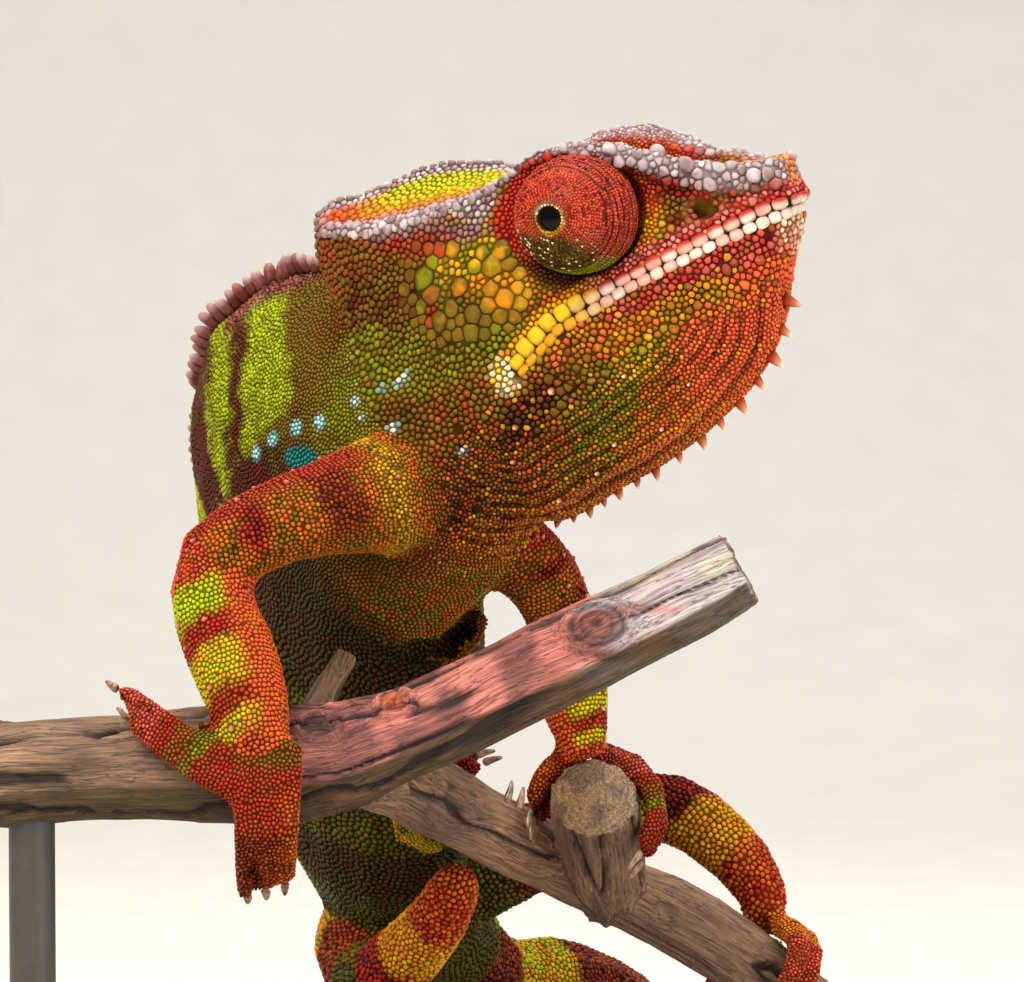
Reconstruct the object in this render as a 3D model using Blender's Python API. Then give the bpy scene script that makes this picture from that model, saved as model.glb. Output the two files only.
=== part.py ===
"""A life-size adult male panther chameleon on a forked perch, held by a plain display stand.

Metres, +Z up, origin under the middle of the stand's base. The animal looks towards +X and a little
towards -Y. Shapes are worked out in millimetres in the pose frame, whose origin lies between the head
and the perch, and PLACE carries them to the part's own frame.
"""

import math

import bmesh
import bpy
import numpy as np
from mathutils import Matrix, Vector

MM = 0.001
GAP = 0.3  # mm kept between neighbouring solids
BASE_THICK = 8.0
PLACE = np.array([10.0, -52.0, 128.0])  # mm, from the pose frame to the part's frame

# ---------------------------------------------------------------- driving sizes, in mm

HEAD_YAW = math.radians(-22.0)  # the snout turned towards -Y
HEAD_ROLL = math.radians(8.0)  # the crown tipped towards -Y
HEAD_CENTRE = np.array([11.2, 11.0, 31.1])  # between the two eyes, in the pose frame
EYE_SIDE = 10.0  # from the mid-plane to the centre of a turret
EYE_ALONG = -0.1  # forward of the head's centre
EYE_RADII = (6.7, 6.7, 6.4)  # along, across and up
LID_OPENING = 1.7  # radius
EYEBALL_RADIUS = 4.4
MOUTH_STATIONS = (-7.9, -3.0, 4.6, 12.7, 23.0)  # where the mouth line bends, from its corner to the front
JAW_BACK = (-12.5, -42.0)  # along and up, in the head's frame

# Each curve of the head is (distance along the head, value) from the casque's tip to the lips.
CROWN_Z = ((-36.5, -0.9), (-34.5, 0.8), (-30.6, 1.4), (-25.7, 3.3), (-20.5, 5.1), (-15, 5.1),
           (-8, 4.2), (0, 4.4), (6, 4.2), (12, 3.2), (17, 3.6), (19.8, 4.3), (20.5, 2.4), (21.5, 0.2))
RIDGE_Y = ((-36.5, 0.6), (-35, 2.4), (-32, 4.4), (-28, 6.5), (-23.5, 8), (-18.6, 9.0), (-11, 9.9),
           (-5, 10.0), (0, 9.5), (5, 8.4), (10, 7.0), (14, 5.5), (17, 4.0), (19.8, 2.4), (21.5, 1.6))
RIDGE_Z = ((-36.5, -1.2), (-32.9, -1.6), (-28.3, -1.4), (-23.5, -0.6), (-18.6, 0.7), (-14, 2.3),
           (-10, 4.2), (-6.8, 6.4), (-3.5, 7.5), (0, 7.7), (4.4, 7.0), (8.8, 5.8), (12.3, 5.0),
           (16.4, 4.5), (19.8, 4.8), (20.5, 2.9), (21.5, 0.6))
TEMPLE_Y = ((-36.5, 0.6), (-33, 3.4), (-28, 6.6), (-23, 9.2), (-18, 11.4), (-12, 12.5), (-7, 11.6),
            (-2, 10.6), (3, 9.8), (8, 8.2), (12.5, 6.4), (16.5, 5.1), (19.8, 3.4), (21.5, 2.2))
TEMPLE_Z = ((-36.5, -3), (-28, -7), (-20, -8), (-13, -7.5), (-7, -5), (0, -3), (8, -0.6),
            (16, 1.2), (19.8, 1.6), (21.5, 0.4))
LIP_Y = ((-36.5, 0.6), (-31, 5.4), (-26, 8.9), (-20, 11.6), (-15, 12.9), (-9.9, 13.4), (-4.2, 13.1),
         (2.3, 11.9), (10.8, 9.4), (16, 7.4), (19.2, 5.2), (20.7, 3.7), (21.5, 2.4))
LIP_Z = ((-36.5, -5), (-31, -10), (-26, -13.5), (-20, -16.5), (-15, -18.3), (-9.9, -18.4),
         (-7.9, -17.4), (-3, -12.0), (4.6, -7.5), (12.7, -3.5), (19.2, -0.4), (21.5, 0.1))
JAW_Y = ((-36.5, 0.5), (-31, 4.6), (-26, 8.0), (-20, 10.8), (-15, 12.2), (-9.9, 12.7), (-4.2, 12.4),
         (2.3, 11.3), (10.8, 9.0), (16, 7.2), (19.2, 5.1), (20.7, 3.7), (21.5, 2.4))
JAW_Z = ((-36.5, -6.2), (-31, -13), (-26, -18), (-20, -23), (-15, -25.5), (-9.9, -25.5),
         (-4.2, -21.5), (2.3, -18), (10.8, -12.3), (16, -8.2), (19.2, -4.6), (21.5, -2.0))
GULAR_Z = ((-36.5, -7), (-31, -16), (-26, -24), (-20, -31), (-14, -35.3), (-8.4, -36.2), (-4, -34.5),
           (-0.5, -32.2), (4, -29.9), (9.5, -26.2), (14, -22.2), (17.2, -18.2), (18.8, -15.2),
           (19.5, -12.2), (19.9, -8.4), (20.5, -6.4), (21.0, -5.3), (21.5, -4.2))
THROAT_FULLNESS = 0.62  # share of the jaw's width a quarter of the way up from the throat's edge
HEAD_STATIONS = (-36.5, -35.4, -33.4, -30.5, -27, -23.5, -20, -16.5, -13.5, -10.5, -8, -5.5, -3, -0.5,
                 2, 4.5, 7, 9.5, 12, 14.5, 16.6, 18.2, 19.2, 19.8, 20.3, 20.9, 21.5)
HEAD_SIDES = 20

# The body from inside the head to the vent: centre, direction of the back, half height, half width.
BODY_STATIONS = (
    ((4.8, 16.6, 11.3), (-0.30, 0.10, 0.95), 11.0, 8.5),
    ((-3.5, 19.5, 8.5), (-0.36, 0.10, 0.93), 15.5, 12.0),
    ((-10.5, 23.5, 4.5), (-0.38, 0.20, 0.90), 19.5, 12.5),
    ((-17.0, 28.5, 1.5), (-0.34, 0.33, 0.88), 24.0, 12.0),
    ((-21.0, 33.5, -3.0), (-0.52, 0.42, 0.74), 27.0, 11.6),
    ((-21.0, 39.5, -12.0), (-0.60, 0.55, 0.58), 25.5, 11.6),
    ((-20.5, 47.5, -25.0), (-0.60, 0.68, 0.42), 24.0, 11.8),
    ((-19.0, 57.0, -40.0), (-0.48, 0.78, 0.40), 20.0, 10.8),
    ((-14.0, 69.0, -53.0), (-0.34, 0.80, 0.50), 14.0, 8.8),
    ((-7.5, 79.0, -62.5), (-0.22, 0.72, 0.66), 8.5, 7.0),
)
BODY_SIDES = 18
BACK_RIDGE = 1.2  # how far the crest's foot stands above the back

TAIL_LEAD = ((-7.5, 79.0, -62.5), (-1.5, 86.5, -69.5))
TAIL_COIL_CENTRE = np.array([7.0, 95.5, -92.5])
TAIL_COIL_AXIS_X = np.array([0.75, 0.66, 0.0])  # level direction in the coil's plane
TAIL_COIL_RADII = (22.0, 3.8)
TAIL_COIL_TURNS = 2.05
TAIL_RADII = (7.2, 1.0)
TAIL_LENGTHS = 6
TAIL_RINGS = 6  # steps along each length
TAIL_SIDES = 8

# Each leg: the points of its line and the radius at each, from inside the body to the wrist.
ARM_RIGHT = (((-10, 21, -1.5), 8.0), ((-13.8, 11.5, -0.8), 7.2), ((-20, 5.0, -2.0), 5.6),
             ((-26.5, 2.5, -4.0), 4.9), ((-31.8, 1.8, -7.5), 4.9), ((-32.2, 0.4, -12.4), 4.8),
             ((-30.3, -2.2, -16.8), 5.1), ((-28.5, -5.0, -21.0), 4.8), ((-27.0, -7.6, -25.0), 3.9))
ARM_LEFT = (((-4, 24, -6), 5.5), ((2.5, 24.5, -10), 4.8), ((5.6, 27.5, -16), 4.3),
            ((6.6, 29.5, -21.5), 4.6), ((7.2, 29.0, -26.0), 4.3), ((8.0, 27.6, -29.4), 3.4))
LEG_RIGHT = (((-14.5, 68, -54), 6.6), ((-19.0, 60, -58.5), 5.8), ((-17.5, 50, -61.5), 4.8),
             ((-13.5, 42, -58.5), 4.6), ((-9.0, 34.5, -52.5), 3.9), ((-6.6, 29.8, -47.6), 3.2))
LEG_LEFT = (((-8, 67, -53), 6.6), ((2, 64, -48), 5.8), ((12.5, 61, -43.0), 4.9),
            ((20.5, 58.5, -42.5), 4.6), ((27.5, 54.5, -47.5), 4.0), ((30.6, 51.4, -52.0), 3.2))
LEG_SIDES = 10

BRANCH_MAIN = (((-72, 3.5, -34.0), 5.8), ((-58, 1.5, -31.2), 5.6), ((-43.4, 0, -29.8), 5.6),
               ((-34, 0, -29.6), 6.2), ((-26, 0, -29.3), 6.6), ((-20, 0, -29.0), 6.4),
               ((-12.1, 0, -26.4), 5.2), ((-1.3, 0, -21.4), 4.8), ((9.5, 0, -16.3), 4.8),
               ((18.1, 0, -11.9), 4.6), ((24.6, 0, -8.4), 4.3))
BRANCH_FORK = (((-17, 3, -29.8), 4.4), ((-10.5, 15, -34.0), 4.4), ((-3.8, 27.5, -39.8), 4.3),
               ((4.0, 38.5, -45.2), 4.2), ((12, 43, -49.4), 4.2), ((21.5, 45.0, -54.5), 4.3),
               ((31, 48, -61.5), 4.4), ((40, 52.5, -69.0), 4.3), ((46, 55.0, -73.5), 4.2))
BRANCH_STUB = (((12.0, 44.5, -50.8), 4.4), ((10.3, 32.5, -42.2), 5.0), ((9.3, 24.0, -36.4), 5.2))
BRANCH_TWIG = (((-22.0, 5.0, -26.5), 2.2), ((-20.6, 11.0, -22.6), 1.7), ((-18.6, 14.5, -19.2), 1.3))
BRANCH_SIDES = 10

ROD_RADIUS = 2.5
ROD_LEFT = (-52.0, 1.0)  # X and Y of the rod's axis, in the pose frame
ROD_RIGHT = (37.0, 50.0)
BASE_HALF = (78.0, 88.0)
BASE_CORNER = 26.0
CLAW_LENGTH = 3.0


# ---------------------------------------------------------------- numbers


def curve(knots, at):
    """Value at a distance along a smooth curve through (distance, value) pairs, without overshoot."""
    x, y = np.array(knots, float).T
    rise = np.diff(y) / np.diff(x)
    slope = np.concatenate([[rise[0]], (rise[1:] + rise[:-1]) / 2, [rise[-1]]])
    turns = np.sign(rise[1:]) != np.sign(rise[:-1])
    slope[1:-1][turns] = 0.0
    limit = 3 * np.minimum(np.abs(np.append(rise, rise[-1])), np.abs(np.insert(rise, 0, rise[0])))
    slope = np.clip(slope, -limit, limit)
    i = int(np.clip(np.searchsorted(x, at) - 1, 0, len(x) - 2))
    step = x[i + 1] - x[i]
    t = float(np.clip((at - x[i]) / step, 0.0, 1.0))
    return ((1 + 2 * t) * (1 - t) ** 2 * y[i] + t * (1 - t) ** 2 * step * slope[i]
            + t * t * (3 - 2 * t) * y[i + 1] + t * t * (t - 1) * step * slope[i + 1])


def smooth_path(points, count):
    """Rows of a Catmull-Rom curve through the given rows, evenly spread along its parameter."""
    rows = np.array(points, float)
    rows = np.vstack([2 * rows[0] - rows[1], rows, 2 * rows[-1] - rows[-2]])
    out = []
    for t in np.linspace(0, len(rows) - 3, count):
        i = min(int(t), len(rows) - 4)
        a, b, c, d = rows[i:i + 4]
        s = t - i
        out.append(0.5 * (2 * b + (c - a) * s + (2 * a - 5 * b + 4 * c - d) * s * s
                          + (3 * b - a - 3 * c + d) * s ** 3))
    return np.array(out)


def unit(vector):
    """The vector at length 1."""
    vector = np.asarray(vector, float)
    return vector / np.linalg.norm(vector)


def tangents(points):
    """Unit directions along a row of points."""
    return np.array([unit(v) for v in np.gradient(np.asarray(points, float), axis=0)])


def carried_frames(directions, start):
    """Tangent, side and up along a line's directions, the up direction carried along without twist."""
    frames = []
    up = np.asarray(start, float)
    for direction in directions:
        up = unit(up - direction * (up @ direction))
        frames.append((direction, np.cross(direction, up), up))
    return frames


def head_axes():
    """Forward, left and up of the head, in the pose frame."""
    turn = Matrix.Rotation(HEAD_YAW, 3, "Z") @ Matrix.Rotation(HEAD_ROLL, 3, "X")
    return [np.array(turn.col[i]) for i in range(3)]


def from_head(point):
    """A point of the head's frame in the pose frame."""
    forward, left, up = head_axes()
    return HEAD_CENTRE + point[0] * forward + point[1] * left + point[2] * up


# ---------------------------------------------------------------- meshes


def new_object(name, bm):
    """An object of this name from a bmesh in pose millimetres, which is freed."""
    bm.normal_update()
    bmesh.ops.recalc_face_normals(bm, faces=bm.faces)
    for vert in bm.verts:
        vert.co = Vector((np.array(vert.co) + PLACE) * MM)
    mesh = bpy.data.meshes.new(name)
    bm.to_mesh(mesh)
    bm.free()
    obj = bpy.data.objects.new(name, mesh)
    bpy.context.collection.objects.link(obj)
    return obj


def skin_rings(rings, name):
    """A closed tube through rings of equal point count, each end filled by one face."""
    bm = bmesh.new()
    loops = [[bm.verts.new(point) for point in ring] for ring in rings]
    count = len(loops[0])
    for first, second in zip(loops, loops[1:]):
        for i in range(count):
            j = (i + 1) % count
            bm.faces.new((first[i], first[j], second[j], second[i]))
    bm.faces.new(loops[0][::-1])
    bm.faces.new(loops[-1])
    return new_object(name, bm)


def round_tube(name, line, sides, grow=0.0, rings=16, start_up=(0, 0, 1), domed=True):
    """A round tube along (point, radius) pairs; a domed one has its far end rounded off."""
    rows = np.array([[*point, radius] for point, radius in line], float)
    rows = smooth_path(rows, rings)
    points, radii = rows[:, :3], rows[:, 3] + grow
    if domed:
        points, radii = dome_end(points, radii, grow)
    return skin_rings(tube_rings(points, radii, sides, start_up), name)


def dome_end(points, radii, grow):
    """The same line with three more points that close the tube's far end as a half ball."""
    direction, radius = tangents(points)[-1], radii[-1]
    angles = np.radians((42.0, 75.0))
    more = [points[-1] + direction * radius * math.sin(a) for a in angles]
    return np.vstack([points, more]), np.append(radii, [radius * math.cos(a) for a in angles])


def tube_rings(points, radii, sides, start_up):
    """Round rings of these radii along a line."""
    angles = np.linspace(0, 2 * math.pi, sides, endpoint=False)
    rings = []
    for point, radius, (_, side, up) in zip(points, radii, carried_frames(tangents(points), start_up)):
        rings.append([point + radius * (math.cos(a) * up + math.sin(a) * side) for a in angles])
    return rings


def applied(obj):
    """Replaces the object's mesh by its evaluated one, keeping only the largest closed body."""
    graph = bpy.context.evaluated_depsgraph_get()
    mesh = bpy.data.meshes.new_from_object(obj.evaluated_get(graph))
    obj.modifiers.clear()
    obj.data = mesh
    bm = bmesh.new()
    bm.from_mesh(mesh)
    bmesh.ops.remove_doubles(bm, verts=bm.verts, dist=1e-6)
    bmesh.ops.dissolve_degenerate(bm, edges=bm.edges, dist=1e-6)
    keep_largest(bm)
    bm.to_mesh(mesh)
    bm.free()
    return obj


def keep_largest(bm):
    """Deletes every island of faces but the one with the most volume."""
    left = set(bm.verts)
    islands = []
    while left:
        stack = [left.pop()]
        island = set(stack)
        while stack:
            for edge in stack.pop().link_edges:
                for vert in edge.verts:
                    if vert in left:
                        left.discard(vert)
                        island.add(vert)
                        stack.append(vert)
        islands.append(island)
    islands.sort(key=lambda verts: -box_volume(verts))
    spare = [vert for island in islands[1:] for vert in island]
    bmesh.ops.delete(bm, geom=spare, context="VERTS")


def box_volume(verts):
    """Volume of the box around some vertices."""
    places = np.array([vert.co[:] for vert in verts])
    return float(np.prod(places.max(axis=0) - places.min(axis=0)))


def combine(target, operation, others):
    """Applies a Boolean of each other object to the target, then deletes the others."""
    for other in others:
        modifier = target.modifiers.new(operation.lower(), "BOOLEAN")
        modifier.operation = operation
        modifier.solver = "EXACT"
        modifier.object = other
        applied(target)
        bpy.data.objects.remove(other)
    return target


def copy_of(obj, name):
    """A second object with its own copy of the mesh."""
    twin = bpy.data.objects.new(name, obj.data.copy())
    bpy.context.collection.objects.link(twin)
    return twin


def keep_side(obj, point, normal):
    """Cuts the object by a plane in the pose frame and keeps what lies along the normal."""
    bm = bmesh.new()
    bm.from_mesh(obj.data)
    normal = unit(normal)
    place = Vector((np.asarray(point, float) + normal * GAP / 2 + PLACE) * MM)
    geom = bm.verts[:] + bm.edges[:] + bm.faces[:]
    cut = bmesh.ops.bisect_plane(bm, geom=geom, dist=1e-7, plane_co=place, plane_no=Vector(normal),
                                 clear_inner=True)
    edges = [item for item in cut["geom_cut"] if isinstance(item, bmesh.types.BMEdge)]
    bmesh.ops.contextual_create(bm, geom=edges)
    bmesh.ops.remove_doubles(bm, verts=bm.verts, dist=1e-6)
    keep_largest(bm)
    bmesh.ops.recalc_face_normals(bm, faces=bm.faces)
    bm.to_mesh(obj.data)
    bm.free()
    return obj


def split(obj, point, normal, near_name, far_name):
    """Parts an object at a plane into two: what lies against the normal, and what lies along it."""
    far = keep_side(copy_of(obj, far_name), point, normal)
    near = keep_side(obj, point, -np.asarray(normal, float))
    near.name = near_name
    return near, far


# ---------------------------------------------------------------- head


def head_ring(x):
    """The head's outline across, at a distance along it, as points of the pose frame."""
    crown, ridge_y, ridge_z = (curve(k, x) for k in (CROWN_Z, RIDGE_Y, RIDGE_Z))
    jaw_y, jaw_z, gular = (curve(k, x) for k in (JAW_Y, JAW_Z, GULAR_Z))
    half = [
        (0.0, crown),
        (ridge_y * 0.52, crown * 0.55 + ridge_z * 0.45 - 0.012 * ridge_y ** 2),
        (ridge_y * 0.86, ridge_z - 0.25),
        (ridge_y, ridge_z - 0.5),
        (ridge_y * 0.99, ridge_z - 0.12 * (ridge_z - gular)),
        (curve(TEMPLE_Y, x), curve(TEMPLE_Z, x)),
        (curve(LIP_Y, x), curve(LIP_Z, x)),
        (jaw_y, jaw_z),
        (jaw_y * THROAT_FULLNESS, gular + 0.26 * (jaw_z - gular)),
        (0.0, gular),
    ]
    half = smooth_path([(*point, 0.0) for point in half], HEAD_SIDES // 2 + 1)[:, :2]
    half[:, 0] = np.maximum(half[:, 0], 0.0)
    half[0, 0] = half[-1, 0] = 0.0
    loop = list(half) + [(-y, z) for y, z in half[-2:0:-1]]
    return [from_head((x, y, z)) for y, z in loop]


def make_head():
    """The whole head with the throat, before the eyes' seats are cut."""
    return skin_rings([head_ring(x) for x in HEAD_STATIONS], "head")


def eye_axes(side):
    """Centre of a turret, and the direction in which its eye looks."""
    forward, left, up = head_axes()
    centre = from_head((EYE_ALONG, side * EYE_SIDE, 0.0))
    if side < 0:
        return centre, unit(-left + 0.06 * up)
    return centre, unit(left + 0.35 * forward + 0.1 * up)


def ellipsoid(name, centre, radii, axes, rings=10, sides=20):
    """A ball stretched along three axes."""
    bm = bmesh.new()
    bmesh.ops.create_uvsphere(bm, u_segments=sides, v_segments=rings, radius=1.0)
    for vert in bm.verts:
        x, y, z = vert.co
        vert.co = Vector(centre + radii[0] * x * axes[0] + radii[1] * y * axes[1] + radii[2] * z * axes[2])
    return new_object(name, bm)


def make_eye(side, word):
    """A turret with its lid opening, and the eyeball inside it."""
    centre, gaze = eye_axes(side)
    forward = unit(head_axes()[0] - gaze * (head_axes()[0] @ gaze))
    axes = [forward, np.cross(gaze, forward), gaze]
    radii = (EYE_RADII[0], EYE_RADII[2], EYE_RADII[1])
    turret = ellipsoid(f"eye_turret_{word}", centre, radii, axes, rings=8, sides=16)
    ball_centre = centre + gaze * (EYE_RADII[1] - EYEBALL_RADIUS - 0.45)
    keep_side(turret, centre - gaze * 2.4, gaze)
    socket = ellipsoid("socket", ball_centre, [EYEBALL_RADIUS + GAP] * 3, axes, 6, 12)
    opening = round_tube("opening", ((ball_centre, LID_OPENING), (centre + gaze * 9, LID_OPENING * 1.25)),
                         12, rings=2, start_up=forward, domed=False)
    behind = round_tube("behind", ((centre - gaze * 6, EYEBALL_RADIUS * 0.8), (ball_centre, EYEBALL_RADIUS * 0.8)),
                        12, rings=2, start_up=forward, domed=False)
    combine(turret, "DIFFERENCE", [combine(socket, "UNION", [opening, behind])])
    ball = ellipsoid(f"eyeball_{word}", ball_centre, [EYEBALL_RADIUS] * 3, axes, 6, 12)
    return turret, ball


def orbit(side):
    """The room a turret needs in the head."""
    centre, gaze = eye_axes(side)
    forward = unit(head_axes()[0] - gaze * (head_axes()[0] @ gaze))
    axes = [forward, np.cross(gaze, forward), gaze]
    radii = np.array((EYE_RADII[0], EYE_RADII[2], EYE_RADII[1])) + GAP
    return ellipsoid("orbit", centre, radii, axes, rings=8, sides=16)


def jaw_wedge(grow):
    """A prism that holds the lower jaw and throat: below the mouth line, before the jaw's back."""
    line = [np.array((x, curve(LIP_Z, x) + 1.2 * grow)) for x in MOUTH_STATIONS]
    corner = line[0] - (grow, 0.0)
    back = np.array(JAW_BACK) - (grow, 0.0)
    outline = [corner, *line[1:], line[-1] + (0.0, -60.0), back + unit(back - corner) * 8]
    bm = bmesh.new()
    face = bm.faces.new([bm.verts.new(from_head((x, -30.0, z))) for x, z in outline])
    extruded = bmesh.ops.extrude_face_region(bm, geom=[face], use_keep_orig=True)["geom"]
    moved = [item for item in extruded if isinstance(item, bmesh.types.BMVert)]
    bmesh.ops.translate(bm, verts=moved, vec=Vector(head_axes()[1] * 60.0))
    return new_object("jaw_wedge", bm)


# ---------------------------------------------------------------- body and tail


def body_rings(grow=0.0):
    """Rings of the neck and trunk: tall sections, fuller below, with a sharp back."""
    rows = np.array([[*c, *d, hh, hw] for c, d, hh, hw in BODY_STATIONS], float)
    rows = smooth_path(rows, 20)
    angles = np.linspace(0, 2 * math.pi, BODY_SIDES, endpoint=False)
    rings = []
    for row, direction in zip(rows, tangents(rows[:, :3])):
        up = unit(row[3:6] - direction * (row[3:6] @ direction))
        side = np.cross(direction, up)
        tall, wide = row[6] + grow, row[7] + grow
        ring = []
        for a in angles:
            lift = tall * math.cos(a) + BACK_RIDGE * max(0.0, math.cos(a)) ** 24
            spread = wide * math.sin(a) * (1.0 - 0.14 * math.cos(a)) * abs(math.sin(a)) ** 0.15
            ring.append(row[:3] + up * lift + side * spread)
        rings.append(ring)
    return rings


def tail_line():
    """Evenly spaced points of the tail from the vent to its tip, and the radius at each."""
    across = unit(TAIL_COIL_AXIS_X)
    angles = np.linspace(math.pi / 2, math.pi / 2 - 2 * math.pi * TAIL_COIL_TURNS, 16)
    reach = np.linspace(*TAIL_COIL_RADII, len(angles))
    coil = [TAIL_COIL_CENTRE + r * (math.cos(a) * across + math.sin(a) * np.array([0, 0, 1]))
            for a, r in zip(angles, reach)]
    fine = smooth_path([*TAIL_LEAD, *coil], 240)
    run = np.insert(np.cumsum(np.linalg.norm(np.diff(fine, axis=0), axis=1)), 0, 0.0)
    share = np.linspace(0, 1, TAIL_LENGTHS * TAIL_RINGS + 1)
    points = np.array([np.interp(share * run[-1], run, column) for column in fine.T]).T
    return points, TAIL_RADII[1] + (TAIL_RADII[0] - TAIL_RADII[1]) * (1 - share) ** 1.5


def make_tail():
    """The tail's lengths, each a tube whose flat ends stand a little apart from its neighbours'."""
    points, radii = tail_line()
    directions = tangents(points)
    directions[0] = unit(np.subtract(BODY_STATIONS[-1][0], BODY_STATIONS[-2][0]))
    frames = carried_frames(directions, unit(BODY_STATIONS[-1][1]))
    angles = np.linspace(0, 2 * math.pi, TAIL_SIDES, endpoint=False)
    for n in range(TAIL_LENGTHS):
        first, last = n * TAIL_RINGS, (n + 1) * TAIL_RINGS
        rings = []
        for i in range(first, last + 1):
            direction, side, up = frames[i]
            start_gap = GAP / 2 if n else GAP
            centre = points[i] + direction * (start_gap * (i == first) - GAP / 2 * (i == last))
            rings.append([centre + radii[i] * (math.cos(a) * up * 1.08 + math.sin(a) * side * 0.94)
                          for a in angles])
        skin_rings(rings, f"tail_{n + 1}")


# ---------------------------------------------------------------- legs and feet


def toe_line(points, thick, tip):
    """Pairs of point and radius for a toe that thins towards its tip."""
    shares = np.linspace(0, 1, len(points))
    return [(point, thick + (tip - thick) * share) for point, share in zip(points, shares)]


def grip(centre, axis, towards, reach, start, sweep, count=5):
    """Points that wrap round a branch: from an angle off a direction, through a sweep, in degrees."""
    axis = unit(axis)
    first = unit(np.asarray(towards, float) - axis * (np.asarray(towards, float) @ axis))
    second = np.cross(axis, first)
    angles = np.radians(np.linspace(start, start + sweep, count))
    return [np.asarray(centre, float) + reach * (math.cos(a) * first + math.sin(a) * second) for a in angles]


def bundle(name, toes, grow=0.0):
    """Toes grown together: each is a tube, and the tubes are one solid."""
    tubes = [round_tube(name, toe, 6, grow=grow, rings=5) for toe in toes]
    return combine(tubes[0], "UNION", tubes[1:])


def claw(name, toe):
    """A curved cone that leaves the end of a toe and bends towards the way the toe bends."""
    points = np.array([point for point, _ in toe], float)
    thick = toe[-1][1]
    direction = unit(points[-1] - points[-2])
    bend = unit(direction - unit(points[-2] - points[-3]) + direction * 1e-3)
    root = points[-1] + direction * (thick + GAP)
    line = [root + direction * s * CLAW_LENGTH + bend * 0.7 * s * s for s in (0.0, 0.5, 1.0)]
    radii = np.array([0.85, 0.6, 0.28])
    return skin_rings(tube_rings(np.array(line), radii, 5, unit(bend)), name)


def side_by_side(points, across, spreads, lengths):
    """Copies of a line of points moved sideways, each run out to its own share of the length."""
    lines = []
    for spread, length in zip(spreads, lengths):
        full = smooth_path(np.asarray(points, float), 24)
        part = full[: max(4, int(round(24 * length)))]
        rows = smooth_path(part, 5) + np.asarray(across, float) * spread
        lines.append(rows)
    return lines


def foot_plans():
    """For each foot: its leg's line, its inner and outer toes, and the branches it holds."""
    plans = {}
    down = [(-26.2, -8.6, -26.5), (-26.0, -10.2, -30.5), (-26.2, -9.8, -35.5), (-26.4, -7.6, -39.6),
            (-26.6, -4.4, -42.2)]
    up_left = [(-27.4, -8.9, -29.4), (-30.6, -9.0, -29.0), (-34.6, -8.3, -26.9), (-38.3, -6.5, -24.4),
               (-40.9, -4.0, -22.9)]
    plans["arm_right"] = (
        ARM_RIGHT,
        [toe_line(t, 2.1, 1.45) for t in side_by_side(down, (1, 0, 0.1), (-1.7, 0.3, 2.3), (1.0, 0.96, 0.82))],
        [toe_line(t, 2.1, 1.5) for t in side_by_side(up_left, (0.25, -0.35, -0.9), (-1.2, 1.5), (1.0, 0.9))],
    )
    stub_axis = np.array(BRANCH_STUB[-1][0], float) - np.array(BRANCH_STUB[1][0], float)
    centre = np.array(BRANCH_STUB[-1][0], float) - unit(stub_axis) * 4.4
    plans["arm_left"] = grip_plan(ARM_LEFT, centre, stub_axis, (-0.1, 0, 1), 7.1, outer_turn=-1,
                                  sweeps=(62, 118))
    plans["leg_right"] = grip_plan(LEG_RIGHT, (-5.6, 23.2, -37.9), (0.52, 0.75, -0.38), (-0.1, 0.55, -0.8),
                                   6.3, outer_turn=1, toes=(2, 3))
    plans["leg_left"] = grip_plan(LEG_LEFT, (30.6, 46.4, -61.0), (0.72, 0.40, -0.56), (0.0, 0.45, 0.9),
                                  6.4, outer_turn=-1, toes=(2, 3))
    return plans


def grip_plan(leg, centre, axis, towards, reach, outer_turn, toes=(3, 2), sweeps=(112, 118)):
    """A foot that wraps a branch from where the leg meets it, inner toes one way, outer the other."""
    axis = unit(axis)
    plan = [leg]
    for turn, count, sweep in ((-outer_turn, toes[0], sweeps[0]), (outer_turn, toes[1], sweeps[1])):
        line = grip(centre, axis, towards, reach, 14 * turn, sweep * turn)
        spreads = (np.arange(count) - (count - 1) / 2) * 2.5
        lengths = [1.0 - 0.06 * abs(s) for s in spreads / 2.5]
        plan.append([toe_line(t, 1.9, 1.35) for t in side_by_side(line, axis, spreads, lengths)])
    return tuple(plan)


def make_leg(name, leg, inner, outer, body, branches):
    """A leg in two lengths, its two bundles of toes and their claws."""
    names = {"arm": ("upper_arm", "forearm", "hand"), "leg": ("thigh", "shin", "foot")}[name.split("_")[0]]
    side = name.split("_")[1]
    whole = round_tube("limb", leg, LEG_SIDES, rings=13)
    grown = round_tube("limb_grown", leg, LEG_SIDES, grow=GAP, rings=13)
    inner_solid = bundle(f"{names[2]}_inner_{side}", inner)
    inner_grown = bundle("inner_grown", inner, grow=GAP)
    outer_solid = bundle(f"{names[2]}_outer_{side}", outer)
    combine(inner_solid, "DIFFERENCE", [copy_of(grown, "limb_a")])
    outer_grown = bundle("outer_grown", outer, grow=GAP)
    combine(outer_solid, "DIFFERENCE", [grown, copy_of(inner_grown, "inner_cut")])
    for branch in branches:
        for solid in (inner_solid, outer_solid):
            combine(solid, "DIFFERENCE", [copy_of(branch, "branch_cut")])
    combine(whole, "DIFFERENCE", [copy_of(body, "body_cut")])
    for branch in branches:
        combine(whole, "DIFFERENCE", [copy_of(branch, "branch_cut")])
    rows = smooth_path([point for point, _ in leg], 41)
    elbow = rows[21]
    split(whole, elbow, tangents(rows)[21], f"{names[0]}_{side}", f"{names[1]}_{side}")
    for word, toes in (("inner", inner), ("outer", outer)):
        for n, toe in enumerate(toes):
            horn = claw(f"claw_{names[2]}_{word}_{side}_{n + 1}", toe)
            combine(horn, "DIFFERENCE", [copy_of(solid, "claw_cut")
                                         for solid in (inner_grown, outer_grown, *branches)])
    for helper in (inner_grown, outer_grown):
        bpy.data.objects.remove(helper)


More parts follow.
